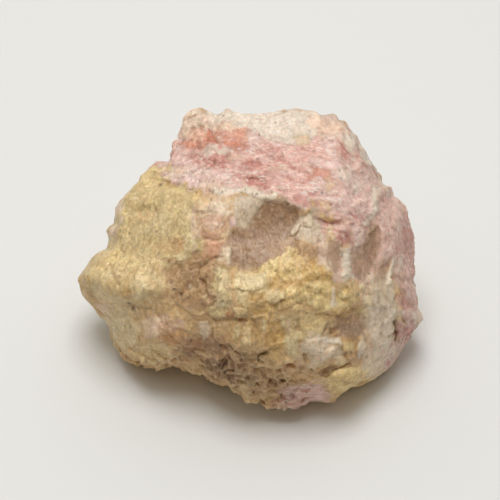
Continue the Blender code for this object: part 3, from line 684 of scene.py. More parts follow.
    ("salmon", 0.25, 0.05, ((-8.8, 7.4), (-5.2, 8.6), (-3.8, 6.2), (-5.4, 3.8), (-8.6, 4.4))),
    (
        "milky_quartz", 0.7, 0.2,
        ((10.8, -16.8), (13.6, -15.4), (15.4, -14.8), (14.4, -16.6), (11.6, -18.8), (9.8, -19.2)),
    ),
    (
        "yellow", 0.85, 0.2,
        (
            (13.2, -21.4), (14.4, -19.8), (17.6, -18.8), (20.4, -19.6),
            (20.6, -21.0), (17.0, -22.3), (14.2, -22.3),
        ),
    ),
    ("peach_quartz", 0.8, 0.25, ((8.2, -16.4), (9.4, -16.6), (9.6, -19.0), (8.4, -19.9), (7.9, -18.0))),
    ("rust", 0.7, 0.1, ((6.2, -17.6), (7.0, -18.2), (6.2, -18.9))),
)
PANE_LIFT = 1.3  # what a crystal face's height is multiplied by
PANE_EDGE = 0.35  # how wide its border is
PANE_RAG = 0.2  # and how ragged
PATCH_EDGE = 0.55  # how wide a patch's border is, as a share of its lesser half-size
PATCH_EDGE_LIMITS = (0.35, 1.8)  # and the least and the most that it may be
RAGGEDNESS = ((2.3, 0.6), (0.9, 0.7), (0.5, 0.6))  # wavelength and reach of the borders' raggedness
PATCH_WANDER = ((3.2, 0.9), (1.1, 0.45))  # wavelength and reach of the wander of the borders
RELIEF_WANDER = ((2.2, 0.3), (0.9, 0.1))  # the same for ledges, cracks and blocks

# The pale crust along the slab's lip, thick then thin: its line, and its half-thickness.
CRUST = ((-5.8, 12.1), (-3.5, 12.2), (-1.2, 12.1), (0.6, 11.8), (1.8, 11.2), (3.4, 11.1), (4.2, 11.3))
CRUST_HALF = 0.45
CRUST_THIN = ((4.2, 10.9), (6.0, 10.6), (7.6, 9.8), (9.2, 9.3), (11.0, 8.9), (12.0, 8.8))
CRUST_THIN_HALF = 0.2

# Specks of black mineral and small pits, all painted black, which in the pits is painted shade: across, up,
# half-width.
SPECKS = (
    (-6.4, 13.8, 0.20), (-7.0, 12.1, 0.25), (-6.4, 11.8, 0.22), (-4.9, 12.0, 0.15),
    (-1.5, 11.8, 0.14), (-0.8, 12.4, 0.16), (0.4, 11.7, 0.15), (1.2, 11.5, 0.22), (3.8, 11.8, 0.16),
    (6.6, 9.9, 0.28), (6.2, 10.3, 0.18), (1.6, 22.0, 0.18), (1.3, 17.7, 0.16), (1.5, 15.5, 0.12),
    (4.5, 24.1, 0.16), (9.2, 24.3, 0.14), (-5.2, 25.5, 0.15), (-4.7, 25.3, 0.12),
    (-6.8, 10.5, 0.20), (-9.2, 11.7, 0.16), (15.9, 14.3, 0.20), (15.6, 15.7, 0.14),
    (12.6, 11.8, 0.16), (7.1, 4.1, 0.14), (8.0, 3.6, 0.17), (8.5, 1.1, 0.17), (4.6, -1.8, 0.15),
    (6.0, -5.4, 0.14), (-8.1, -7.5, 0.18), (-7.5, -2.9, 0.14), (-4.8, -7.2, 0.18),
    (13.9, 3.1, 0.12), (14.8, 3.7, 0.12), (17.8, 1.1, 0.13), (21.1, -0.4, 0.14), (20.9, -2.3, 0.16),
    (18.8, -5.9, 0.15), (11.4, -5.8, 0.14), (-16.5, 5.0, 0.18), (-15.6, 13.1, 0.22),
    (-12.0, -6.0, 0.28), (-13.3, -5.1, 0.22), (-13.8, -3.9, 0.25), (-9.9, -3.0, 0.18),
    (-20.3, -8.3, 0.25), (-21.0, -7.4, 0.28), (-20.7, -11.6, 0.22), (-13.1, -17.2, 0.22),
    (-10.3, -13.8, 0.22), (-4.0, -19.2, 0.22), (-4.4, -18.1, 0.20), (-5.2, -18.0, 0.20),
    (-3.1, -21.3, 0.20), (1.2, -21.4, 0.18), (0.0, -21.2, 0.20), (0.6, -22.6, 0.20),
    (2.6, -16.0, 0.22), (5.6, -21.2, 0.18), (-5.1, -14.8, 0.22), (-1.5, -17.3, 0.22),
    (6.0, -18.9, 0.16), (10.9, -19.1, 0.16), (12.2, -16.1, 0.16), (16.5, -21.0, 0.22),
    (8.4, -8.8, 0.14), (9.9, -9.2, 0.16),
)

# Mineral on the hidden sides, told apart by grain: tone and share, in grains of this size.
HIDDEN_GRAIN = 8.0
HIDDEN_TONES = (
    ("milky_quartz", 0.20),
    ("grey_quartz", 0.16),
    ("smoky_quartz", 0.16),
    ("khaki", 0.14),
    ("tan", 0.14),
    ("cream", 0.08),
    ("honey", 0.06),
    ("grey_green", 0.06),
)

# --- The relief ----------------------------------------------------------------------------

# Kinds of relief: how strongly each shows in fibrous, glassy, gritty and blocky mineral.
LARGE_CHIPS = (0.4, 0.25, 0.8, 0.7)
MIDDLE_CHIPS = (0.4, 0.2, 0.9, 0.5)
SMALL_CHIPS = (0.45, 0.1, 0.7, 0.25)
CRAGS = (0.4, 0.0, 0.3, 0.0)
SHARD_TILT = 1.6  # how steep the flats of the shards are
SHARD_CRISPNESS = 45  # and how short the steps between them
SLAB_TURN = -9  # degrees from "across" to the way the slab's crystals lie
SLAT_TURN = -25  # degrees from "up" to the way the blocks' slats stand
GRID_LEAN = 0.35  # how far the grid is shifted towards the show face
# painted shade: the colour in hollows is darkened by this
PAINTED_HOLLOW_SHADE = (0.80, 0.68, 0.54)  # what the light in a deep hollow is multiplied by

# --- Numbers that repeat evenly ------------------------------------------------------------

LATTICE = 64
RANDOM = np.random.default_rng(11).random((LATTICE, LATTICE, LATTICE, 4))


def random_at(places, seed):
    """Four even random numbers for each whole-number place; the seed shifts the table."""
    index = (places + np.array([seed * 7, seed * 13, seed * 29])) % LATTICE
    return RANDOM[index[:, 0], index[:, 1], index[:, 2]]


def cloud(points, size, seed):
    """Smooth noise, about -1 to 1, with lumps of the given size.

    Each corner of a lattice cell has a random slope. The slopes' heights are blended by
    6t^5 - 15t^4 + 10t^3 of the place within the cell.
    """
    place = points / size
    low = np.floor(place).astype(int)
    part = place - low
    ease = part**3 * (part * (part * 6 - 15) + 10)
    total = np.zeros(len(points))
    for corner in itertools.product((0, 1), repeat=3):
        slope = random_at(low + corner, seed)[:, :3] * 2 - 1
        weight = np.prod(np.where(corner, ease, 1 - ease), axis=1)
        total += weight * ((part - corner) * slope).sum(axis=1)
    return total * 1.7  # which brings it to about -1 to 1


def grains(points, size, seed):
    """Grain centres near each point, one jittered centre in each of the 27 cells round it.

    Returns the squared distances in grain sizes, the offsets and the random numbers.
    """
    place = points / size
    low = np.floor(place).astype(int)
    gaps, offsets, numbers = [], [], []
    for step in itertools.product((-1, 0, 1), repeat=3):
        cell = low + step
        number = random_at(cell, seed)
        offset = place - cell - number[:, :3]
        gaps.append((offset**2).sum(axis=1))
        offsets.append(offset)
        numbers.append(random_at(cell, seed + 3))
    return np.array(gaps), np.array(offsets), np.array(numbers)


def chips(points, size, seed):
    """Height of broken chips, about -1 to 1: each grain is a tilted flat at its own level.

    The flats are blended by weights that fall off as e to minus the crispness times the
    squared distance from the grain's centre, so edges between chips are short steps.
    """
    gap, offset, number = grains(points, size, seed)
    weight = np.exp(-SHARD_CRISPNESS * (gap - gap.min(axis=0)))
    level = number[..., 3] * 2 - 1
    slope = number[..., :3] * 2 - 1
    flat = level * 0.6 + SHARD_TILT * (slope * offset).sum(axis=2)
    return (weight * flat).sum(axis=0) / weight.sum(axis=0)


def bent(points, size, reach, seed):
    """Points shifted by smooth noise along each axis."""
    shift = np.stack([cloud(points, size, seed + axis) for axis in range(3)], axis=1)
    return points + reach * shift


def shards(points, size, seed):
    """Height of broken flats: the higher of two layers of chips in bent space.

    Where the layers cross, the edge is sharp, and no two flats have the same outline.
    """
    moved = bent(points, size * 1.4, size * 0.3, seed + 60)
    return np.maximum(chips(moved, size, seed), chips(moved, size * 1.3, seed + 31))


def ridged(points, size, seed):
    """Crags with sharp crests: 1 - 2|noise|, summed over three sizes that halve."""
    total = sum((1 - 2 * np.abs(cloud(points, size / 2**n, seed + n))) / 2**n for n in range(3))
    return total / 1.75 - 0.35  # with its middle near 0


def smooth_step(value):
    """0 below 0, 1 above 1, and 3t^2 - 2t^3 between."""
    t = np.clip(value, 0, 1)
    return t * t * (3 - 2 * t)


def mix(low, high, share):
    """From low to high as the share goes from 0 to 1."""
    return low + (high - low) * share


# --- Shape ---------------------------------------------------------------------------------


def cube_sphere(steps, lean):
    """Unit directions over a cube's six faces, and the quads between them, closed all round.

    Each cube face has steps x steps quads, spaced by the tangent of even angles. The lean
    shifts the directions towards "out", so that the show face gets more of them.
    """
    i, j = np.meshgrid(np.arange(steps + 1), np.arange(steps + 1), indexing="ij")
    places, quads = [], []
    for axis, side in itertools.product(range(3), (0, steps)):
        place = np.empty((steps + 1, steps + 1, 3), int)
        place[..., axis] = side
        place[..., (axis + 1) % 3] = i
        place[..., (axis + 2) % 3] = j
        number = len(places) * (steps + 1) ** 2 + i * (steps + 1) + j
        quad = np.stack([number[:-1, :-1], number[1:, :-1], number[1:, 1:], number[:-1, 1:]], axis=-1)
        quads.append(quad.reshape(-1, 4) if side else quad.reshape(-1, 4)[:, ::-1])
        places.append(place.reshape(-1, 3))
    places = np.concatenate(places)
    key = places @ (1, steps + 1, (steps + 1) ** 2)
    first, inverse = np.unique(key, return_index=True, return_inverse=True)[1:]
    cube = np.tan((places[first] / steps * 2 - 1) * math.pi / 4)
    ball = cube / np.linalg.norm(cube, axis=1, keepdims=True) + (0, 0, lean)
    return ball / np.linalg.norm(ball, axis=1, keepdims=True), inverse.ravel()[np.concatenate(quads)]


def rim_tables():
    """Radius and out of the rim at even angles, and the radius averaged for the inner form.

    Places are as seen, so each radius is drawn in by (distance - out) / distance.
    """
    rim, rim_out = np.array(RIM), np.array(RIM_OUT)
    angle = np.arctan2(rim[:, 1], rim[:, 0]) % math.tau
    order = np.argsort(angle)
    evenly = np.arange(RIM_SAMPLES) * math.tau / RIM_SAMPLES
    out = np.interp(evenly, np.radians(rim_out[:, 0]), rim_out[:, 1], period=math.tau)
    radius = np.interp(evenly, angle[order], np.hypot(*rim[order].T), period=math.tau)
    radius *= (SIGHT_DISTANCE - out) / SIGHT_DISTANCE
    window = np.hanning(2 * RIM_SMOOTHING + 3)[1:-1]
    window /= window.sum()
    around = np.concatenate([radius[-RIM_SMOOTHING:], radius, radius[:RIM_SMOOTHING]])
    return evenly, radius, out, np.convolve(around, window, "valid")


def soft_least(values, softness):
    """Smooth minimum over the first axis: minus the softness times the log of summed exponentials."""
    least = values.min(axis=0)
    return least - softness * np.log(np.exp((least - values) / softness).sum(axis=0))


def faces_at(faces, across, up):
    """How far out each broken face lies at these places: its point's out plus the rises."""
    return np.array(
        [out + rise_a * (across - a) + rise_u * (up - u) for (a, u, out), (rise_a, rise_u) in faces]
    )


def broad_form(directions):
    """The stone without its relief, for each unit direction, and how far it stands from the rim.

    A direction turns into an angle round the rim and a lean away from it. The surface runs
    from the middle of the front over the rim to the middle of the back as a sheared ellipse,
    and the broken faces trim its height in front of the rim and behind it.
    """
    evenly, radius, rim_out, inner = rim_tables()
    angle = np.arctan2(directions[:, 1], directions[:, 0]) % math.tau
    toward_rim = np.hypot(directions[:, 0], directions[:, 1])
    fine = np.interp(angle, evenly, radius, period=math.tau)
    broad = np.interp(angle, evenly, inner, period=math.tau)
    front = directions[:, 2] > 0
    sharpness = np.where(front, FRONT_SHARPNESS, BACK_SHARPNESS)
    reach = (broad + (fine - broad) * toward_rim**sharpness) * toward_rim
    across, up = reach * np.cos(angle), reach * np.sin(angle)
    middle = np.interp(angle, evenly, rim_out, period=math.tau) * toward_rim

    swell = np.where(front, FRONT_SWELL, BACK_SWELL) * np.abs(directions[:, 2])
    least = LEAST_SWELL * swell
    trimmed_front = np.maximum(faces_at(FRONT_FACES, across, up) - middle, least)
    trimmed_back = np.maximum(middle - faces_at(BACK_FACES, across, up), least)
    front_height = np.maximum(soft_least(np.concatenate([[swell], trimmed_front]), EDGE_SOFTNESS), least)
    back_height = np.maximum(soft_least(np.concatenate([[swell], trimmed_back]), EDGE_SOFTNESS), least)
    height = np.where(front, front_height, -back_height)
    return np.stack([across, up, middle + height], axis=1), height


def seen(points):
    """Places on the show face as they look square on: across and up grow by distance / (distance - out)."""
    return points[:, :2] * (SIGHT_DISTANCE / (SIGHT_DISTANCE - points[:, 2]))[:, None]


def distance_to_line(places, line):
    """Shortest distance from each place to a line of straight stretches."""
    nearest = np.full(len(places), np.inf)
    for start, end in zip(np.array(line[:-1]), np.array(line[1:])):
        along = end - start
        share = np.clip((places - start) @ along / (along @ along), 0, 1)
        gap = places - start - share[:, None] * along
        nearest = np.minimum(nearest, np.hypot(gap[:, 0], gap[:, 1]))
    return nearest


def turned(places, across, up, degrees):
    """Places measured from a centre, along axes turned by this many degrees."""
    turn = math.radians(degrees)
    gap = places - (across, up)
    return (
        gap[:, 0] * math.cos(turn) + gap[:, 1] * math.sin(turn),
        gap[:, 1] * math.cos(turn) - gap[:, 0] * math.sin(turn),
    )


def in_face(points, degrees):
    """Points measured along axes that are turned by this many degrees within the face."""
    turn = math.radians(degrees)
    cosine, sine = math.cos(turn), math.sin(turn)
    return points @ np.array(((cosine, -sine, 0), (sine, cosine, 0), (0, 0, 1)))


def lump_relief(places):
    """Sum of bells: height times e to minus the squared distances over the half-widths."""
    relief = np.zeros(len(places))
    for across, up, half_a, half_u, height in LUMPS:
        gap = places - (across, up)
        relief += height * np.exp(-((gap[:, 0] / half_a) ** 2) - (gap[:, 1] / half_u) ** 2)
    return relief


def ledge_relief(places):
    """Each ledge drops over a short way below its line, then climbs back as a square."""
    relief = np.zeros(len(places))
    for line, height, fall, reach in LEDGES:
        line = np.array(line)
        below = np.interp(places[:, 0], line[:, 0], line[:, 1]) - places[:, 1]
        ends = np.minimum(places[:, 0] - line[0, 0], line[-1, 0] - places[:, 0]) / LEDGE_END
        hollow = smooth_step(below / fall) * np.clip(1 - below / reach, 0, 1) ** 2
        relief -= height * hollow * smooth_step(ends)
    return relief


def crease_relief(places):
    """Cracks and thin ridges: height times e to minus the squared distance over the half-width."""
    relief = np.zeros(len(places))
    for line, half, height in CREASES:
        relief += height * np.exp(-((distance_to_line(places, line) / half) ** 2))
    return relief


def block_relief(places):
    """Blocks with flat tops: height inside, falling to 0 over the block edge."""
    relief = np.zeros(len(places))
    for across, up, half_a, half_u, degrees, height in BLOCKS:
        along, over = turned(places, across, up, degrees)
        inside = np.minimum(half_a - np.abs(along), half_u - np.abs(over))
        relief += height * smooth_step(inside / BLOCK_EDGE + 0.5)
    return relief


def speck_cover(places):
    """1 inside a speck, falling to 0 just past its half-width."""
    cover = np.zeros(len(places))
    for across, up, half in SPECKS:
        gap = np.hypot(places[:, 0] - across, places[:, 1] - up)
        cover = np.maximum(cover, smooth_step(1.6 - gap / half))
    return cover


def surface_normals(points, quads):
    """Outward unit normals: each vertex sums the cross products of its quads' diagonals."""
    corner = points[quads]
    area = np.cross(corner[:, 2] - corner[:, 0], corner[:, 3] - corner[:, 1])
    normal = np.empty_like(points)
    for axis in range(3):
        weight = np.repeat(area[:, axis], 4)
        normal[:, axis] = np.bincount(quads.ravel(), weight, len(points))
    return normal / np.maximum(np.linalg.norm(normal, axis=1, keepdims=True), 1e-12)


def spread(values, quads, times):
    """Values blurred over the surface: each vertex takes the mean of its quads' corners."""
    share = 1 / (4 * np.bincount(quads.ravel(), minlength=len(values)))
    for _ in range(times):
        total = np.repeat(values[quads].sum(axis=1), 4)
        values = np.bincount(quads.ravel(), total, len(values)) * share
    return values


# --- Colour --------------------------------------------------------------------------------


def linear(colour):
    """Screen colour to light: ((c + 0.055) / 1.055) ^ 2.4."""
    return ((np.array(colour) + 0.055) / 1.055) ** 2.4


def wandered(places, points, wander, seed):
    """Places shifted by smooth noise, so that the borders drawn at them wander."""
    moved = places.copy()
    for number, (size, reach) in enumerate(wander):
        for axis in range(2):
            moved[:, axis] += reach * cloud(points, size, seed + 2 * number + axis)
    return moved


def hidden_minerals(points):
    """Share of each tone on the hidden sides: every large grain takes one tone by its number."""
    gap, _, number = grains(points, HIDDEN_GRAIN, 41)
    weight = np.exp(-30 * (gap - gap.min(axis=0)))
    weight /= weight.sum(axis=0)
    total, shares = 0, {}
    for tone, share in HIDDEN_TONES:
        chosen = (number[..., 0] >= total) & (number[..., 0] < total + share)
        shares[tone] = (weight * chosen).sum(axis=0)
        total += share
    return shares


def inside_pane(places, corners):
    """How far inside a pane each place lies: the least distance from the lines of its sides."""
    corners = np.array(corners)
    sides = np.roll(corners, -1, axis=0) - corners
    sides /= np.linalg.norm(sides, axis=1, keepdims=True) * np.sign(np.cross(sides[0], sides[1]))
    gap = places[:, None] - corners
    return (gap[..., 1] * sides[:, 0] - gap[..., 0] * sides[:, 1]).min(axis=1)


def pane_covers(places, points):
    """For each pane, 1 inside it, falling to 0 across its slightly ragged border."""
    ragged = cloud(points, 1.1, 75) * PANE_RAG
    inside = [inside_pane(places, corners) + ragged for _, _, _, corners in PANES]
    return [smooth_step(distance / PANE_EDGE + 0.5) for distance in inside]


def mineral_shares(points, places, front, panes):
    """Share of each tone at each point, laid on in order: each one covers what is under it.

    Hidden sides take tones by grain, with tourmaline where the slab runs through at the top
    and the right. Patches come next, then the panes and the crust. A patch's cover falls from
    1 to 0 across its ragged border.
    """
    names = list(NATURES)
    shares = np.zeros((len(names), len(points)))
    for tone, share in hidden_minerals(points).items():
        shares[names.index(tone)] = share

    def lay(tone, cover):
        nonlocal shares
        shares *= 1 - cover
        shares[names.index(tone)] += cover

    ragged = cloud(points, 2.0, 31) * 1.6
    slab = smooth_step((points[:, 1] * 0.95 + points[:, 0] * 0.25 - 14.0) / 1.5 + ragged)
    lay("rose", slab * 0.9)
    lay("pale_pink", slab * smooth_step(cloud(points, 4.0, 32) * 1.5))
    lay("deep_rose", slab * smooth_step(cloud(points, 2.6, 33) * 2 - 0.3) * 0.8)
    lay("cream_skin", slab * smooth_step(cloud(points, 5.0, 34) * 2 - 0.2) * 0.8)

    moved = wandered(places, points, PATCH_WANDER, 20)
    rag = sum(reach * cloud(points, size, 70 + n) for n, (size, reach) in enumerate(RAGGEDNESS))
    for tone, across, up, half_a, half_u, degrees, cover in PATCHES:
        along, over = turned(moved, across, up, degrees)
        least = min(half_a, half_u)
        inside = (1 - np.hypot(along / half_a, over / half_u)) * least
        ragged = rag * min(1, least / 1.6)
        edge = np.clip(PATCH_EDGE * least, *PATCH_EDGE_LIMITS)
        lay(tone, cover * front * smooth_step((inside + ragged) / edge + 0.5))
    near = mix(places, moved, 0.25)
    for (tone, cover, _, _), inside in zip(PANES, panes):
        lay(tone, cover * front * inside)
    crust = smooth_step(1.8 - distance_to_line(near, CRUST) / CRUST_HALF + rag * 0.9)
    lay("white_crust", 0.9 * front * crust)
    thin = smooth_step(1.6 - distance_to_line(near, CRUST_THIN) / CRUST_THIN_HALF + rag)
    lay("white_crust", 0.35 * front * thin)
    return dict(zip(names, shares))


def tinted(shares, tones):
    """The tones' light, mixed by their shares."""
    return sum(share[:, None] * tones[tone] for tone, share in shares.items())


# --- The finished stone --------------------------------------------------------------------


def broken_relief(points, along, nature, edge, calm, bottom):
    """Height of chips, crags, laths and slats over the broad form, and of the bottom's rubble.

    Each kind is a noise times its strength in the four ways that minerals break. Chips and
    crags are weaker where the stone is calm.
    """
    large = shards(points, 6.5, 1) * 0.60
    middling = shards(points, 2.9, 5) * 0.34
    small = shards(points, 1.4, 9) * 0.15
    crags = ridged(bent(points, 2.5, 0.6, 66), 1.5, 37) * 0.16
    laths = shards(along, 1.3, 13) * 0.24 + ridged(along, 0.8, 17) * 0.07
    slats = shards(in_face(points, SLAT_TURN) * (1.0, 0.4, 1.0), 1.9, 15) * 0.28
    rubble = shards(in_face(points, SLAB_TURN) * (1.2, 0.75, 1.2), 2.2, 21) * 0.55
    fibrous, _, _, blocky = nature.T
    relief = middling * (nature @ MIDDLE_CHIPS)
    relief += small * (nature @ SMALL_CHIPS)
    relief += crags * (nature @ CRAGS)
    relief *= 1 - 0.65 * calm
    relief += large * (nature @ LARGE_CHIPS) * edge * (1 - 0.4 * calm)
    relief += laths * fibrous + slats * 0.8 * blocky
    return relief, bottom * (rubble + middling * 0.4)


def edge_wear_highlight_and_hollow_shade(tint, tones, nature, high, sharp, bottom):
    """Ridges paler, as worn edges with painted highlight, and hollows darker with painted shade.

    High is how far each point stands above the surface some way round it, and sharp how far
    it stands above the surface next to it.
    """
    fibrous, glassy, gritty, _ = nature.T
    # painted highlight with wear: ridges and sharp edges turn paler
    ridge = np.clip(high / 0.6, 0, 1) * 0.10 + np.clip(sharp / 0.10, 0, 1) * 0.18
    tint = mix(tint, tones["cream"], (ridge * (1 - 0.6 * glassy - 0.6 * fibrous))[:, None])
    tint = mix(tint, tones["white_crust"], (ridge * fibrous)[:, None])
    # painted shade: hollows turn darker, most in gritty mineral and at the bottom
    hollow = np.clip(-high / 0.7, 0, 1) * (0.15 + 0.3 * (gritty + bottom))
    hollow += np.clip(-sharp / 0.12, 0, 1) * 0.25
    hollow = np.clip(hollow * (1 - 0.5 * glassy - 0.5 * fibrous), 0, 1)
    return tint * mix(1, np.array(PAINTED_HOLLOW_SHADE), hollow[:, None])


def streaky(tint, tones, along, fibrous):
    """Pale and deep streaks along the slab's crystals, by the sum of two noises."""
    drawn_out = along * (0.5, 1, 1)
    streak = (cloud(drawn_out, 0.9, 51) + cloud(drawn_out, 0.4, 52)) * fibrous
    tint = mix(tint, tones["pale_pink"] * 1.05, np.clip(streak, 0, 1)[:, None] * 0.5)
    return mix(tint, tones["deep_rose"], np.clip(-streak, 0, 1)[:, None] * 0.3)


def stone_surface(shape, tones):
    """Points, quads, colour and natures of the whole stone, in its show face's frame.

    Lumps, ledges, cracks and blocks stand straight out of the show face. The finer relief
    stands along the normals of that form.
    """
    directions, quads = cube_sphere(shape.grid_steps, GRID_LEAN)
    points, front_height = broad_form(directions)
    places = seen(points)
    # regions: the sides that show, all but the rim, the rubble at the bottom, the left swelling
    shown = smooth_step((front_height + 5.0) / 3.0)
    edge = smooth_step(front_height / 1.5)
    bottom = smooth_step((-15.5 - places[:, 1]) / 2) * smooth_step((12 - places[:, 0]) / 4) * shown
    calm = smooth_step((-9.5 - places[:, 0]) / 3) * smooth_step((places[:, 1] + 10) / 5) * shown

    panes = pane_covers(places, points)
    shares = mineral_shares(points, places, shown, panes)
    nature = np.array(list(shares.values())).T @ np.array([NATURES[tone] for tone in shares])
    blocky = np.clip(1 - nature.sum(axis=1), 0, 1)
    nature = np.hstack([nature, blocky[:, None]])

    moved = wandered(places, points, RELIEF_WANDER, 60)
    creases = crease_relief(moved) * shape.crack_depth
    blocks = block_relief(moved)
    blocks += sum(PANE_LIFT * proud * inside for (_, _, proud, _), inside in zip(PANES, panes))
    specks = speck_cover(mix(places, moved, 0.2)) * shown
    fade = smooth_step(front_height / RELIEF_FADE)
    points[:, 2] += (lump_relief(places) + ledge_relief(moved)) * fade + (creases + blocks) * edge

    normals = surface_normals(points, quads)
    along = in_face(bent(points, 7.0, 1.2, 90), SLAB_TURN) * (0.3, 1.0, 1.0)
    relief, rubble = broken_relief(points, along, nature, edge, calm, bottom)
    relief *= 1 - 0.6 * shares["cream"] * shown
    relief += rubble - specks * (0.05 + 0.12 * bottom)
    # the relief sinks near the rim, most along the bottom, so that the outline holds
    by_rim = smooth_step((8 - np.abs(front_height)) / 6)
    low = smooth_step((-9 - places[:, 1]) / 5)
    relief = (relief - 0.15 - by_rim * (0.12 + 0.6 * low)) * shape.roughness
    points += normals * relief[:, None]

    rough = relief + (creases + blocks) * edge
    high = rough - spread(rough, quads, 16)
    sharp = rough - spread(rough, quads, 3)
    tint = edge_wear_highlight_and_hollow_shade(tinted(shares, tones), tones, nature, high, sharp, bottom)
    for tone, share in (
        # painted shade: dark brown along the cracks, darker where they cut deeper
        ("dark_brown", np.clip(-creases / 0.5, 0, 1) * shown * 0.35),
        ("white_crust", smooth_step(creases / 0.2) * shown * 0.5),
        # painted shade: dark brown in the hollows at the bottom
        ("dark_brown", smooth_step((-high - 0.2) / 0.3) * bottom * 0.4),
        # black specks, with painted shade in the small pits
        ("pit", specks * 0.7),
    ):
        tint = mix(tint, tones[tone], share[:, None])
    tint = streaky(tint, tones, along, nature[:, 0])
    mottle = cloud(points, 1.6, 53) * 0.5 + cloud(points, 0.7, 54) * 0.5
    tint *= (1 + 0.09 * mottle)[:, None]
    return points, quads, np.clip(tint, 0, 1), nature[:, :3]


def lay_down(points):
    """Turns show-face places into the lying stone's, in metres: up and out tilt by the face's lean."""
    across, up, out = points.T
    forward, height = math.sin(FACE_TILT), math.cos(FACE_TILT)
    laid = np.stack([across, up * forward - out * height, up * height + out * forward], axis=1)
    return laid * MM + FACE_MIDDLE


def stone_object(points, quads, tint, nature):
    """The stone's mesh, with the colour and the nature of each point as attributes."""
    mesh = bpy.data.meshes.new("rough_stone")
    mesh.vertices.add(len(points))
    mesh.vertices.foreach_set("co", points.astype(np.float32).ravel())
    mesh.loops.add(quads.size)
    mesh.loops.foreach_set("vertex_index", quads.astype(np.int32).ravel())
    mesh.polygons.add(len(quads))
    mesh.polygons.foreach_set("loop_start", np.arange(0, quads.size, 4, dtype=np.int32))
    mesh.update(calc_edges=True)
    mesh.validate()
    mesh.shade_smooth()
    whole = np.ones((len(points), 1))
    for name, values in (("tint", tint), ("nature", nature)):
        attribute = mesh.attributes.new(name, "FLOAT_COLOR", "POINT")
        attribute.data.foreach_set("color", np.hstack([values, whole]).astype(np.float32).ravel())
    stone = bpy.data.objects.new("rough_stone", mesh)
    bpy.context.scene.collection.objects.link(stone)
    return stone


# --- Material ------------------------------------------------------------------------------


# The light of fine marks in the material, the pale one partly painted highlight, then shades that multiply
# the light below them, the border's one painted shade.
PALE_AND_HIGHLIGHT = (0.90, 0.80, 0.68, 1)
BRIGHTEST = (0.95, 0.95, 0.95)
WHITE_SLIVER = (0.92, 0.84, 0.76, 1)
CRACK_BROWN = (0.20, 0.12, 0.06, 1)
DEEP_SLIVER = (0.82, 0.66, 0.60)
DARK_LINE = (0.62, 0.46, 0.36)
PAINTED_BORDER_SHADE = (0.66, 0.54, 0.42)
SLAB_WAY = (0.15, -0.6, 0.8)  # across the lines of fibrous mineral, nearly straight out of the face
HALF = (0.5, 0.5, 0.5)
SUBSURFACE_REACH = (1.0, 0.6, 0.4)  # how far red, green and blue light travel, as shares
QUARTZ_IOR = 1.55
BUMP_DEPTH = 0.16 * MM


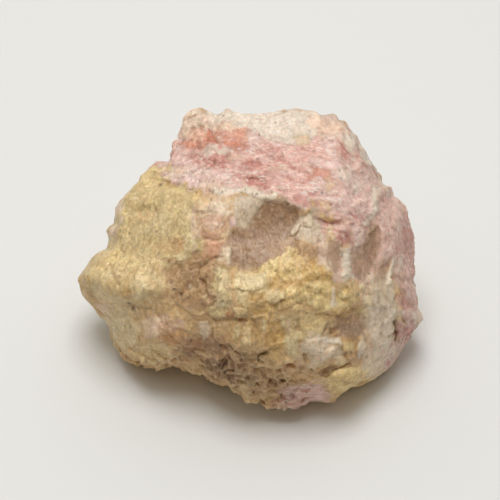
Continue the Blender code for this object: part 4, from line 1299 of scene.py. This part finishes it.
class NodeBench:
    """A short hand for adding and joining nodes in one material."""

    def __init__(self, tree):
        self.tree = tree

    def add(self, kind, settings=None, **inputs):
        """A new node with its settings and its inputs' values."""
        node = self.tree.nodes.new(kind)
        for name, value in (settings or {}).items():
            setattr(node, name, value)
        for name, value in inputs.items():
            self.put(node, name, value)
        return node

    def put(self, node, name, value):
        """Joins a socket to the named or numbered input, or sets the input's own value."""
        socket = node.inputs[int(name)] if name.isdigit() else node.inputs[name]
        if isinstance(value, bpy.types.NodeSocket):
            self.tree.links.new(value, socket)
        else:
            socket.default_value = value

    def maths(self, operation, first, second=0.0):
        node = self.tree.nodes.new("ShaderNodeMath")
        node.operation = operation
        self.put(node, "0", first)
        self.put(node, "1", second)
        return node.outputs[0]

    def times(self, first, second):
        return self.maths("MULTIPLY", first, second)

    def rest(self, share):
        """What the share leaves of 1."""
        return self.maths("SUBTRACT", 1.0, share)

    def vectors(self, operation, first, second=None, third=None, scale=None, output="Vector"):
        node = self.tree.nodes.new("ShaderNodeVectorMath")
        node.operation = operation
        for name, value in (("0", first), ("1", second), ("2", third), ("Scale", scale)):
            if value is not None:
                self.put(node, name, value)
        return node.outputs[output]

    def scaled(self, vector, share):
        return self.vectors("SCALE", vector, scale=share)

    def lean(self, colour):
        """A cell's random colour as a lean to any side."""
        return self.vectors("SUBTRACT", colour, HALF)

    def blend(self, share, low, high, strength=1.0):
        """From low to high as the share goes from 0 to 1, scaled by the strength."""
        node = self.tree.nodes.new("ShaderNodeMix")
        self.put(node, "Factor", self.times(share, strength))
        self.put(node, "A", low)
        self.put(node, "B", high)
        return node.outputs["Result"]

    def colours(self, share, low, high):
        """The same for colours and places."""
        node = self.tree.nodes.new("ShaderNodeMix")
        node.data_type = "RGBA"
        self.put(node, "0", share)
        self.put(node, "6", low)
        self.put(node, "7", high)
        return node.outputs[2]

    def ranged(self, value, low, high, to_low, to_high):
        """A number moved from one range to another and held within it."""
        node = self.add("ShaderNodeMapRange", Value=value)
        ends = (("From Min", low), ("From Max", high), ("To Min", to_low), ("To Max", to_high))
        for name, number in ends:
            node.inputs[name].default_value = number
        return node.outputs[0]

    def about_one(self, number, reach):
        """From 1 less the reach to 1 plus the reach as the number goes from 0 to 1."""
        return self.ranged(number, 0, 1, 1 - reach, 1 + reach)

    def near(self, value, level, width):
        """1 where the value is at the level, falling to 0 at the width from it."""
        gap = self.maths("ABSOLUTE", self.maths("SUBTRACT", value, level))
        return self.ranged(gap, 0, width, 1, 0)

    def noise(self, vector, scale, detail, roughness=0.6):
        node = self.add(
            "ShaderNodeTexNoise", Vector=vector, Scale=scale, Detail=detail, Roughness=roughness
        )
        return node.outputs["Fac"]

    def shifted(self, vector, reach, scale, detail, roughness):
        """Places shifted by coloured noise times the reach."""
        node = self.add(
            "ShaderNodeTexNoise", Vector=vector, Scale=scale, Detail=detail, Roughness=roughness
        )
        return self.vectors("MULTIPLY_ADD", node.outputs["Color"], (reach, reach, reach), vector)

    def cells(self, vector, scale, distance="EUCLIDEAN"):
        """A random colour for each scattered cell, and one random number."""
        node = self.add("ShaderNodeTexVoronoi", {"distance": distance}, Vector=vector, Scale=scale)
        colour = node.outputs["Color"]
        number = self.add("ShaderNodeSeparateColor", Color=colour).outputs[0]
        return colour, number

    def cell_borders(self, vector, scale, width):
        """1 where the two nearest cell centres are equally far, falling to 0 at the width."""
        distances = []
        for feature in ("F1", "F2"):
            settings = {"distance": "CHEBYCHEV", "feature": feature}
            node = self.add("ShaderNodeTexVoronoi", settings, Vector=vector, Scale=scale)
            distances.append(node.outputs["Distance"])
        nearest, second = distances
        return self.ranged(self.maths("SUBTRACT", second, nearest), 0.0, width, 1, 0)

    def drawn_out(self, vector, degrees, scale):
        """Places in the show face's frame, turned within the face and then scaled."""
        turn = (FACE_TILT - math.pi / 2, 0, math.radians(degrees))
        turned_places = self.add("ShaderNodeMapping", Vector=vector, Rotation=turn).outputs[0]
        return self.vectors("MULTIPLY", turned_places, scale)


def cleavage_lines(bench, place, block, fibrous):
    """Noise in thin straight lines across each block, and the way that the block faces.

    The lines of every block face their own way, but in fibrous mineral they run nearly along
    the slab.
    """
    own_way = bench.vectors("NORMALIZE", bench.lean(block[0]))
    slab_way = bench.scaled(SLAB_WAY, bench.times(fibrous, 1.1))
    way = bench.vectors("NORMALIZE", bench.vectors("ADD", own_way, slab_way))
    across = bench.vectors("DOT_PRODUCT", place, way, output="Value")
    wobble = bench.times(bench.noise(place, 700.0, 2.0), 0.0006)
    across = bench.maths("ADD", bench.maths("ADD", across, wobble), block[1])
    in_a_row = {"noise_dimensions": "1D"}
    lines = bench.add(
        "ShaderNodeTexNoise", in_a_row, W=across, Scale=2100.0, Detail=3.0, Roughness=0.7
    )
    return lines.outputs["Fac"], own_way


def slivers(bench, place, fibrous):
    """Shares of white and of deep coloured slivers, which are thin angular crystals.

    They stand up the show face, or lie along the slab in fibrous mineral.
    """
    lying = bench.ranged(fibrous, 0.45, 0.6, 0, 1)
    standing_way = bench.drawn_out(place, -25, (1.0, 0.4, 1.0))
    lying_way = bench.drawn_out(place, 18, (0.4, 1.0, 1.0))
    number = bench.cells(bench.colours(lying, standing_way, lying_way), 3000.0, "CHEBYCHEV")[1]
    amount = bench.ranged(bench.noise(place, 300.0, 2.0), 0.42, 0.58, 0.15, 1)
    amount = bench.times(amount, bench.ranged(fibrous, 0.15, 0.7, 0.10, 0.6))
    white = bench.times(amount, bench.ranged(number, 0.82, 0.84, 0, 1))
    deep = bench.times(amount, bench.ranged(number, 0.24, 0.18, 0, 0.8))
    return white, deep


def stone_material(finish):
    """Minerals by attribute, with crystal faces, fibres and cracks finer than the mesh.

    Each small cell of a scattered pattern leans the surface its own way, has its own shade,
    and a few are smooth enough to glint. Scales are in cells to a metre.
    """
    material = bpy.data.materials.new("tourmaline_and_quartz")
    material.use_nodes = True
    tree = material.node_tree
    tree.nodes.clear()
    bench = NodeBench(tree)
    output = bench.add("ShaderNodeOutputMaterial")
    shader = bench.add("ShaderNodeBsdfPrincipled")
    tree.links.new(shader.outputs[0], output.inputs[0])

    place = bench.add("ShaderNodeTexCoord").outputs["Object"]
    tint = bench.add("ShaderNodeAttribute", {"attribute_name": "tint"}).outputs["Color"]
    nature = bench.add("ShaderNodeAttribute", {"attribute_name": "nature"}).outputs["Color"]
    parts = bench.add("ShaderNodeSeparateColor", Color=nature)
    fibrous, glassy, gritty = parts.outputs[0], parts.outputs[1], parts.outputs[2]
    soft = bench.maths("MAXIMUM", 0.0, bench.rest(bench.maths("ADD", fibrous, gritty)))

    shift = bench.shifted(place, 0.0007, 900.0, 3.0, 0.7)
    block = bench.cells(shift, 480.0)
    grain = bench.cells(shift, 1500.0)
    fine = bench.cells(shift, 3200.0)

    # cleavage faces: angular cells drawn out up the show face, large ones and small ones
    drifted = bench.shifted(place, 0.005, 130.0, 2.0, 0.5)
    upright = bench.drawn_out(drifted, -12, (1.0, 0.45, 1.0))
    face = bench.cells(upright, 620.0, "CHEBYCHEV")
    chip = bench.cells(upright, 1700.0, "CHEBYCHEV")
    border = bench.cell_borders(upright, 620.0, 0.12)

    # streaks run up the show face in blocky mineral and along the slab in fibrous mineral
    up_face = bench.drawn_out(drifted, -15, (1.0, 0.35, 1.0))
    along_slab = bench.drawn_out(place, 9, (0.35, 1.0, 1.0))
    streaked = bench.colours(fibrous, up_face, along_slab)
    streaked = bench.colours(gritty, streaked, place)

    # cleavage lines: light ones, pale fibres partly painted highlight, in some patches and dark ones in the
    # others
    lines, own_way = cleavage_lines(bench, place, block, fibrous)
    patchy = bench.ranged(bench.noise(shift, 330.0, 3.0), 0.48, 0.60, 0.0, 1)
    light_line = bench.times(bench.ranged(lines, 0.56, 0.64, 0, 1), patchy)
    dark_line = bench.times(bench.ranged(lines, 0.42, 0.34, 0, 1), bench.rest(patchy))

    # colour: mottled at two sizes, then each grain and crystal face in its own shade
    fleck_noise = bench.noise(streaked, 2300.0, 4.0, 0.7)
    shade = bench.times(
        bench.ranged(fleck_noise, 0.3, 0.7, 0.80, 1.20), bench.about_one(grain[1], 0.05)
    )
    broad_noise = bench.noise(place, 800.0, 3.0)
    shade = bench.times(shade, bench.ranged(broad_noise, 0.3, 0.7, 0.92, 1.08))
    colour = bench.scaled(tint, bench.blend(glassy, shade, 1.0, 0.4))
    crisp = bench.times(bench.about_one(fine[1], 0.10), bench.about_one(chip[1], 0.12))
    facet = bench.blend(glassy, bench.about_one(face[1], 0.10), 1.0, 0.7)
    crisp = bench.blend(glassy, bench.times(crisp, facet), 1.0, 0.3)
    colour = bench.scaled(colour, bench.blend(bench.ranged(soft, 0, 1, 0.5, 1), 1.0, crisp))

    # painted glints as light flecks, light lines partly painted highlight, dark lines, painted highlight
    # and painted shade on the borders of the crystal faces, brown cracks, slivers
    # painted glints: light flecks where small crystal faces catch the light
    painted_glints = bench.times(
        bench.ranged(fleck_noise, 0.60, 0.68, 0, 0.6), bench.blend(glassy, 1.0, 0.7)
    )
    light_line = bench.times(light_line, bench.blend(glassy, 0.60, 0.5))
    pale = bench.maths("MAXIMUM", painted_glints, light_line)
    pale_and_highlight = bench.vectors("MINIMUM", bench.scaled(colour, 1.4), BRIGHTEST)
    pale_and_highlight = bench.colours(0.35, pale_and_highlight, PALE_AND_HIGHLIGHT)
    colour = bench.colours(pale, colour, pale_and_highlight)
    dim = bench.times(dark_line, bench.blend(glassy, bench.blend(fibrous, 0.35, 0.12), 0.10))
    colour = bench.colours(dim, colour, bench.vectors("MULTIPLY", colour, DARK_LINE))
    border = bench.times(border, bench.blend(soft, 0.1, 0.4))
    colour = bench.colours(bench.times(border, patchy), colour, pale_and_highlight)
    shadowed = bench.vectors("MULTIPLY", colour, PAINTED_BORDER_SHADE)
    colour = bench.colours(bench.times(border, bench.rest(patchy)), colour, shadowed)
    cracks = bench.times(bench.near(bench.noise(shift, 380.0, 4.0), 0.44, 0.006), patchy)
    stain = bench.times(cracks, bench.blend(fibrous, 0.6, 0.1))
    stain = bench.times(stain, bench.rest(glassy))
    colour = bench.colours(stain, colour, CRACK_BROWN)
    white, deep = slivers(bench, place, fibrous)
    colour = bench.colours(white, colour, WHITE_SLIVER)
    colour = bench.colours(deep, colour, bench.vectors("MULTIPLY", colour, DEEP_SLIVER))
    tree.links.new(colour, shader.inputs["Base Color"])

    # surface: each cell and crystal face leans its own way, under a fine bump
    facets = bench.vectors("ADD", bench.lean(face[0]), bench.lean(chip[0]))
    facets = bench.scaled(facets, bench.blend(soft, 0.10, 0.34))
    leans = (
        bench.scaled(facets, bench.blend(glassy, 1.0, 0.55)),
        bench.scaled(own_way, bench.blend(glassy, 0.12, 0.05)),
        bench.scaled(bench.lean(grain[0]), bench.blend(glassy, 0.40, 0.16)),
        bench.scaled(bench.lean(fine[0]), 0.30),
    )
    leaning = bench.add("ShaderNodeNewGeometry").outputs["Normal"]
    for lean in leans:
        leaning = bench.vectors("ADD", leaning, lean)
    leaning = bench.vectors("NORMALIZE", leaning)
    height = bench.maths("ADD", fleck_noise, bench.times(lines, 0.6))
    height = bench.maths("ADD", bench.maths("SUBTRACT", height, stain), white)
    bump = bench.add(
        "ShaderNodeBump",
        Strength=finish.bump_strength,
        Distance=BUMP_DEPTH,
        Height=height,
        Normal=leaning,
    )
    tree.links.new(bump.outputs[0], shader.inputs["Normal"])

    # sheen: quartz is smoother, and a few grains glint
    glint = bench.ranged(grain[1], 0.86, 0.88, 0, 0.28)
    rough = bench.maths("SUBTRACT", bench.blend(glassy, 0.56, 0.38), glint)
    tree.links.new(rough, shader.inputs["Roughness"])
    shader.inputs["Subsurface Weight"].default_value = finish.glow
    shader.inputs["Subsurface Radius"].default_value = SUBSURFACE_REACH
    shader.inputs["Subsurface Scale"].default_value = finish.glow_depth
    shader.inputs["IOR"].default_value = QUARTZ_IOR
    return material


# --- Settings ------------------------------------------------------------------------------


def tone_property(name, description, red, green, blue):
    """A screen colour, 0 to 255 for each light, kept as 0 to 1."""
    return bpy.props.FloatVectorProperty(
        name=name,
        description=description,
        subtype="COLOR_GAMMA",
        size=3,
        min=0,
        max=1,
        default=(red / 255, green / 255, blue / 255),
    )


class StoneTones(bpy.types.PropertyGroup):
    """Colours of the minerals."""

    cream_skin: tone_property("Cream Skin", "Pale cream tourmaline along the top", 228, 216, 200)
    peach: tone_property("Peach", "Peach tourmaline", 238, 212, 187)
    salmon: tone_property("Salmon", "Strong salmon tourmaline", 209, 141, 115)
    rose: tone_property("Rose", "Rose tourmaline, the slab's main colour", 223, 180, 169)
    deep_rose: tone_property("Deep Rose", "Deep rose tourmaline", 194, 133, 122)
    pale_pink: tone_property("Pale Pink", "Pale pink sugary tourmaline", 228, 200, 191)
    lilac: tone_property("Lilac", "Lilac-brown tourmaline in quartz", 229, 194, 182)
    white_crust: tone_property("White Crust", "White crust along the slab's lip", 234, 223, 204)
    smoky_quartz: tone_property("Smoky Quartz", "Smoky quartz", 168, 137, 109)
    grey_quartz: tone_property("Grey Quartz", "Grey-white quartz", 206, 189, 164)
    milky_quartz: tone_property("Milky Quartz", "Milky quartz", 234, 215, 186)
    peach_quartz: tone_property("Peach Quartz", "Peach-stained quartz", 233, 202, 164)
    khaki: tone_property("Khaki", "Khaki stained feldspar", 216, 194, 142)
    yellow: tone_property("Yellow", "Yellow feldspar", 233, 207, 147)
    honey: tone_property("Honey", "Honey feldspar", 204, 171, 108)
    cream: tone_property("Cream", "Cream feldspar", 228, 209, 163)
    ochre: tone_property("Ochre", "Ochre iron stain", 197, 160, 95)
    rust: tone_property("Rust", "Rust iron stain", 190, 122, 69)
    tan: tone_property("Tan", "Tan grains", 217, 183, 133)
    brown: tone_property("Brown", "Brown grains", 178, 142, 102)
    dark_brown: tone_property("Dark Brown", "Dark brown grains", 134, 95, 60)
    grey_green: tone_property("Grey Green", "Grey-green grains", 231, 212, 167)
    # black mineral, and painted shade in the pits
    pit: tone_property("Pit", "Black specks and pits", 66, 46, 28)


class StoneShape(bpy.types.PropertyGroup):
    """Fineness and roughness of the stone's surface."""

    grid_steps: bpy.props.IntProperty(
        name="Grid Steps",
        description="Quads along each edge of the grid's six faces",
        default=128,
        min=16,
        max=128,
    )
    crack_depth: bpy.props.FloatProperty(
        name="Crack Depth",
        description="How deep the cracks cut, as a share",
        default=0.6,
        min=0,
        max=2,
    )
    roughness: bpy.props.FloatProperty(
        name="Roughness",
        description="How far chips and grains stand out, as a share",
        default=1.0,
        min=0,
        max=2,
    )


class StoneFinish(bpy.types.PropertyGroup):
    """Light in and on the surface."""

    glow: bpy.props.FloatProperty(
        name="Glow",
        description="Share of light that travels under the surface",
        default=0.3,
        min=0,
        max=1,
    )
    glow_depth: bpy.props.FloatProperty(
        name="Glow Depth",
        description="How far light travels under the surface",
        default=1.0 * MM,
        min=0,
        subtype="DISTANCE",
        unit="LENGTH",
    )
    bump_strength: bpy.props.FloatProperty(
        name="Fine Grain",
        description="Strength of the grain finer than the mesh",
        default=0.6,
        min=0,
        max=1,
    )


class StageSettings(bpy.types.PropertyGroup):
    """Floor and light."""

    floor_colour: bpy.props.FloatVectorProperty(
        name="Floor Colour",
        description="Colour of the pale floor",
        subtype="COLOR",
        size=3,
        min=0,
        max=1,
        default=(0.75, 0.775, 0.775),
    )
    key_power: bpy.props.FloatProperty(
        name="Key Light",
        description="Power of the soft light above",
        default=2.7,
        min=0,
        unit="POWER",
    )
    broad_power: bpy.props.FloatProperty(
        name="Broad Light",
        description="Power of the broad light overhead",
        default=4.1,
        min=0,
        unit="POWER",
    )
    sky_strength: bpy.props.FloatProperty(
        name="Sky Light",
        description="Strength of the light from all round",
        default=0.22,
        min=0,
    )


# --- Operators -----------------------------------------------------------------------------


class STONE_OT_rough_stone(bpy.types.Operator):
    """Builds the stone over its CAD solid and gives it its minerals"""

    bl_idname = "stone.rough_stone"
    bl_label = "Rough Stone"

    def execute(self, context):
        scene = context.scene
        tones = {name: linear(getattr(scene.stone_tones, name)) for name in NATURES}
        points, quads, tint, nature = stone_surface(scene.stone_shape, tones)
        laid = lay_down(points)
        laid[:, 2] = np.maximum(laid[:, 2], 0)
        stone = stone_object(laid, quads, tint, nature)
        stone.data.materials.append(stone_material(scene.stone_finish))
        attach(stone, "root")
        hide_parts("stone")
        return {"FINISHED"}


# The stage in metres: half the floor's side, then each light's width, place and target.
FLOOR_HALF = 3.0
KEY_LIGHT = (0.35, (-0.02, 0.01, 0.7), (0, 0, 0.02))
BROAD_LIGHT = (1.6, (-0.06, 0.37, 0.68), (-0.05, 0.33, 0))
SKY_COLOUR = (1.0, 0.77, 0.55, 1)
SENSOR_WIDTH = 36.0  # of the camera, in millimetres


def floor_material(colour):
    material = bpy.data.materials.new("pale_floor")
    material.use_nodes = True
    shader = material.node_tree.nodes["Principled BSDF"]
    shader.inputs["Base Color"].default_value = (*colour, 1)
    shader.inputs["Roughness"].default_value = 0.9
    shader.inputs["Specular IOR Level"].default_value = 0.1
    return material


def aimed(thing, place, target):
    """Puts a light or camera at a place, looking at a target."""
    thing.location = place
    thing.rotation_euler = (Vector(target) - Vector(place)).to_track_quat("-Z", "Y").to_euler()


def add_light(name, power, width, place, target):
    """Hangs a round area light at a place, looking at a target."""
    light = bpy.data.objects.new(name, bpy.data.lights.new(name, "AREA"))
    light.data.shape = "DISK"
    light.data.size = width
    light.data.energy = power
    bpy.context.scene.collection.objects.link(light)
    aimed(light, place, target)


class STONE_OT_stage(bpy.types.Operator):
    """Lays the pale floor and sets the soft light and the camera"""

    bl_idname = "stone.stage"
    bl_label = "Stage"

    def execute(self, context):
        scene = context.scene
        settings = scene.stone_stage
        mesh = bpy.data.meshes.new("floor")
        corners = ((-1, -1, 0), (1, -1, 0), (1, 1, 0), (-1, 1, 0))
        mesh.from_pydata((np.array(corners) * FLOOR_HALF).tolist(), [], [(0, 1, 2, 3)])
        floor = bpy.data.objects.new("floor", mesh)
        mesh.materials.append(floor_material(settings.floor_colour))
        scene.collection.objects.link(floor)
        add_light("key_light", settings.key_power, *KEY_LIGHT)
        add_light("broad_light", settings.broad_power, *BROAD_LIGHT)

        world = bpy.data.worlds.new("soft_sky")
        world.use_nodes = True
        background = world.node_tree.nodes["Background"]
        background.inputs[0].default_value = SKY_COLOUR
        background.inputs[1].default_value = settings.sky_strength
        scene.world = world

        camera = bpy.data.objects.new("camera", bpy.data.cameras.new("camera"))
        scene.collection.objects.link(camera)
        camera.data.sensor_width = SENSOR_WIDTH
        camera.data.lens = SENSOR_WIDTH * SIGHT_DISTANCE / VIEW_WIDTH
        target, place = lay_down(np.array(((0, AIM_UP, 0), (0, AIM_UP, SIGHT_DISTANCE))))
        aimed(camera, place, target)
        camera.data.clip_start = 0.01
        scene.camera = camera
        scene.view_settings.view_transform = "Standard"
        return {"FINISHED"}


class STONE_PT_panel(bpy.types.Panel):
    """Shows the buttons that build the stone and the stage, and lists the settings"""

    bl_label = "Stone"
    bl_idname = "STONE_PT_panel"
    bl_space_type = "VIEW_3D"
    bl_region_type = "UI"
    bl_category = "Stone"

    def draw(self, context):
        layout = self.layout
        for operator in OPERATORS:
            layout.operator(operator.bl_idname)
        for group in ("stone_shape", "stone_finish", "stone_stage", "stone_tones"):
            settings = getattr(context.scene, group)
            for name in settings.__annotations__:
                layout.prop(settings, name)


OPERATORS = (STONE_OT_rough_stone, STONE_OT_stage)
GROUPS = (
    ("stone_tones", StoneTones),
    ("stone_shape", StoneShape),
    ("stone_finish", StoneFinish),
    ("stone_stage", StageSettings),
)


def register():
    for name, group in GROUPS:
        bpy.utils.register_class(group)
        setattr(bpy.types.Scene, name, bpy.props.PointerProperty(type=group))
    for operator in OPERATORS:
        bpy.utils.register_class(operator)
    bpy.utils.register_class(STONE_PT_panel)


def unregister():
    bpy.utils.unregister_class(STONE_PT_panel)
    for operator in reversed(OPERATORS):
        bpy.utils.unregister_class(operator)
    for name, group in reversed(GROUPS):
        delattr(bpy.types.Scene, name)
        bpy.utils.unregister_class(group)


def main():
    register()
    bpy.ops.stone.rough_stone()
    bpy.ops.stone.stage()


if __name__ == "__main__":
    main()
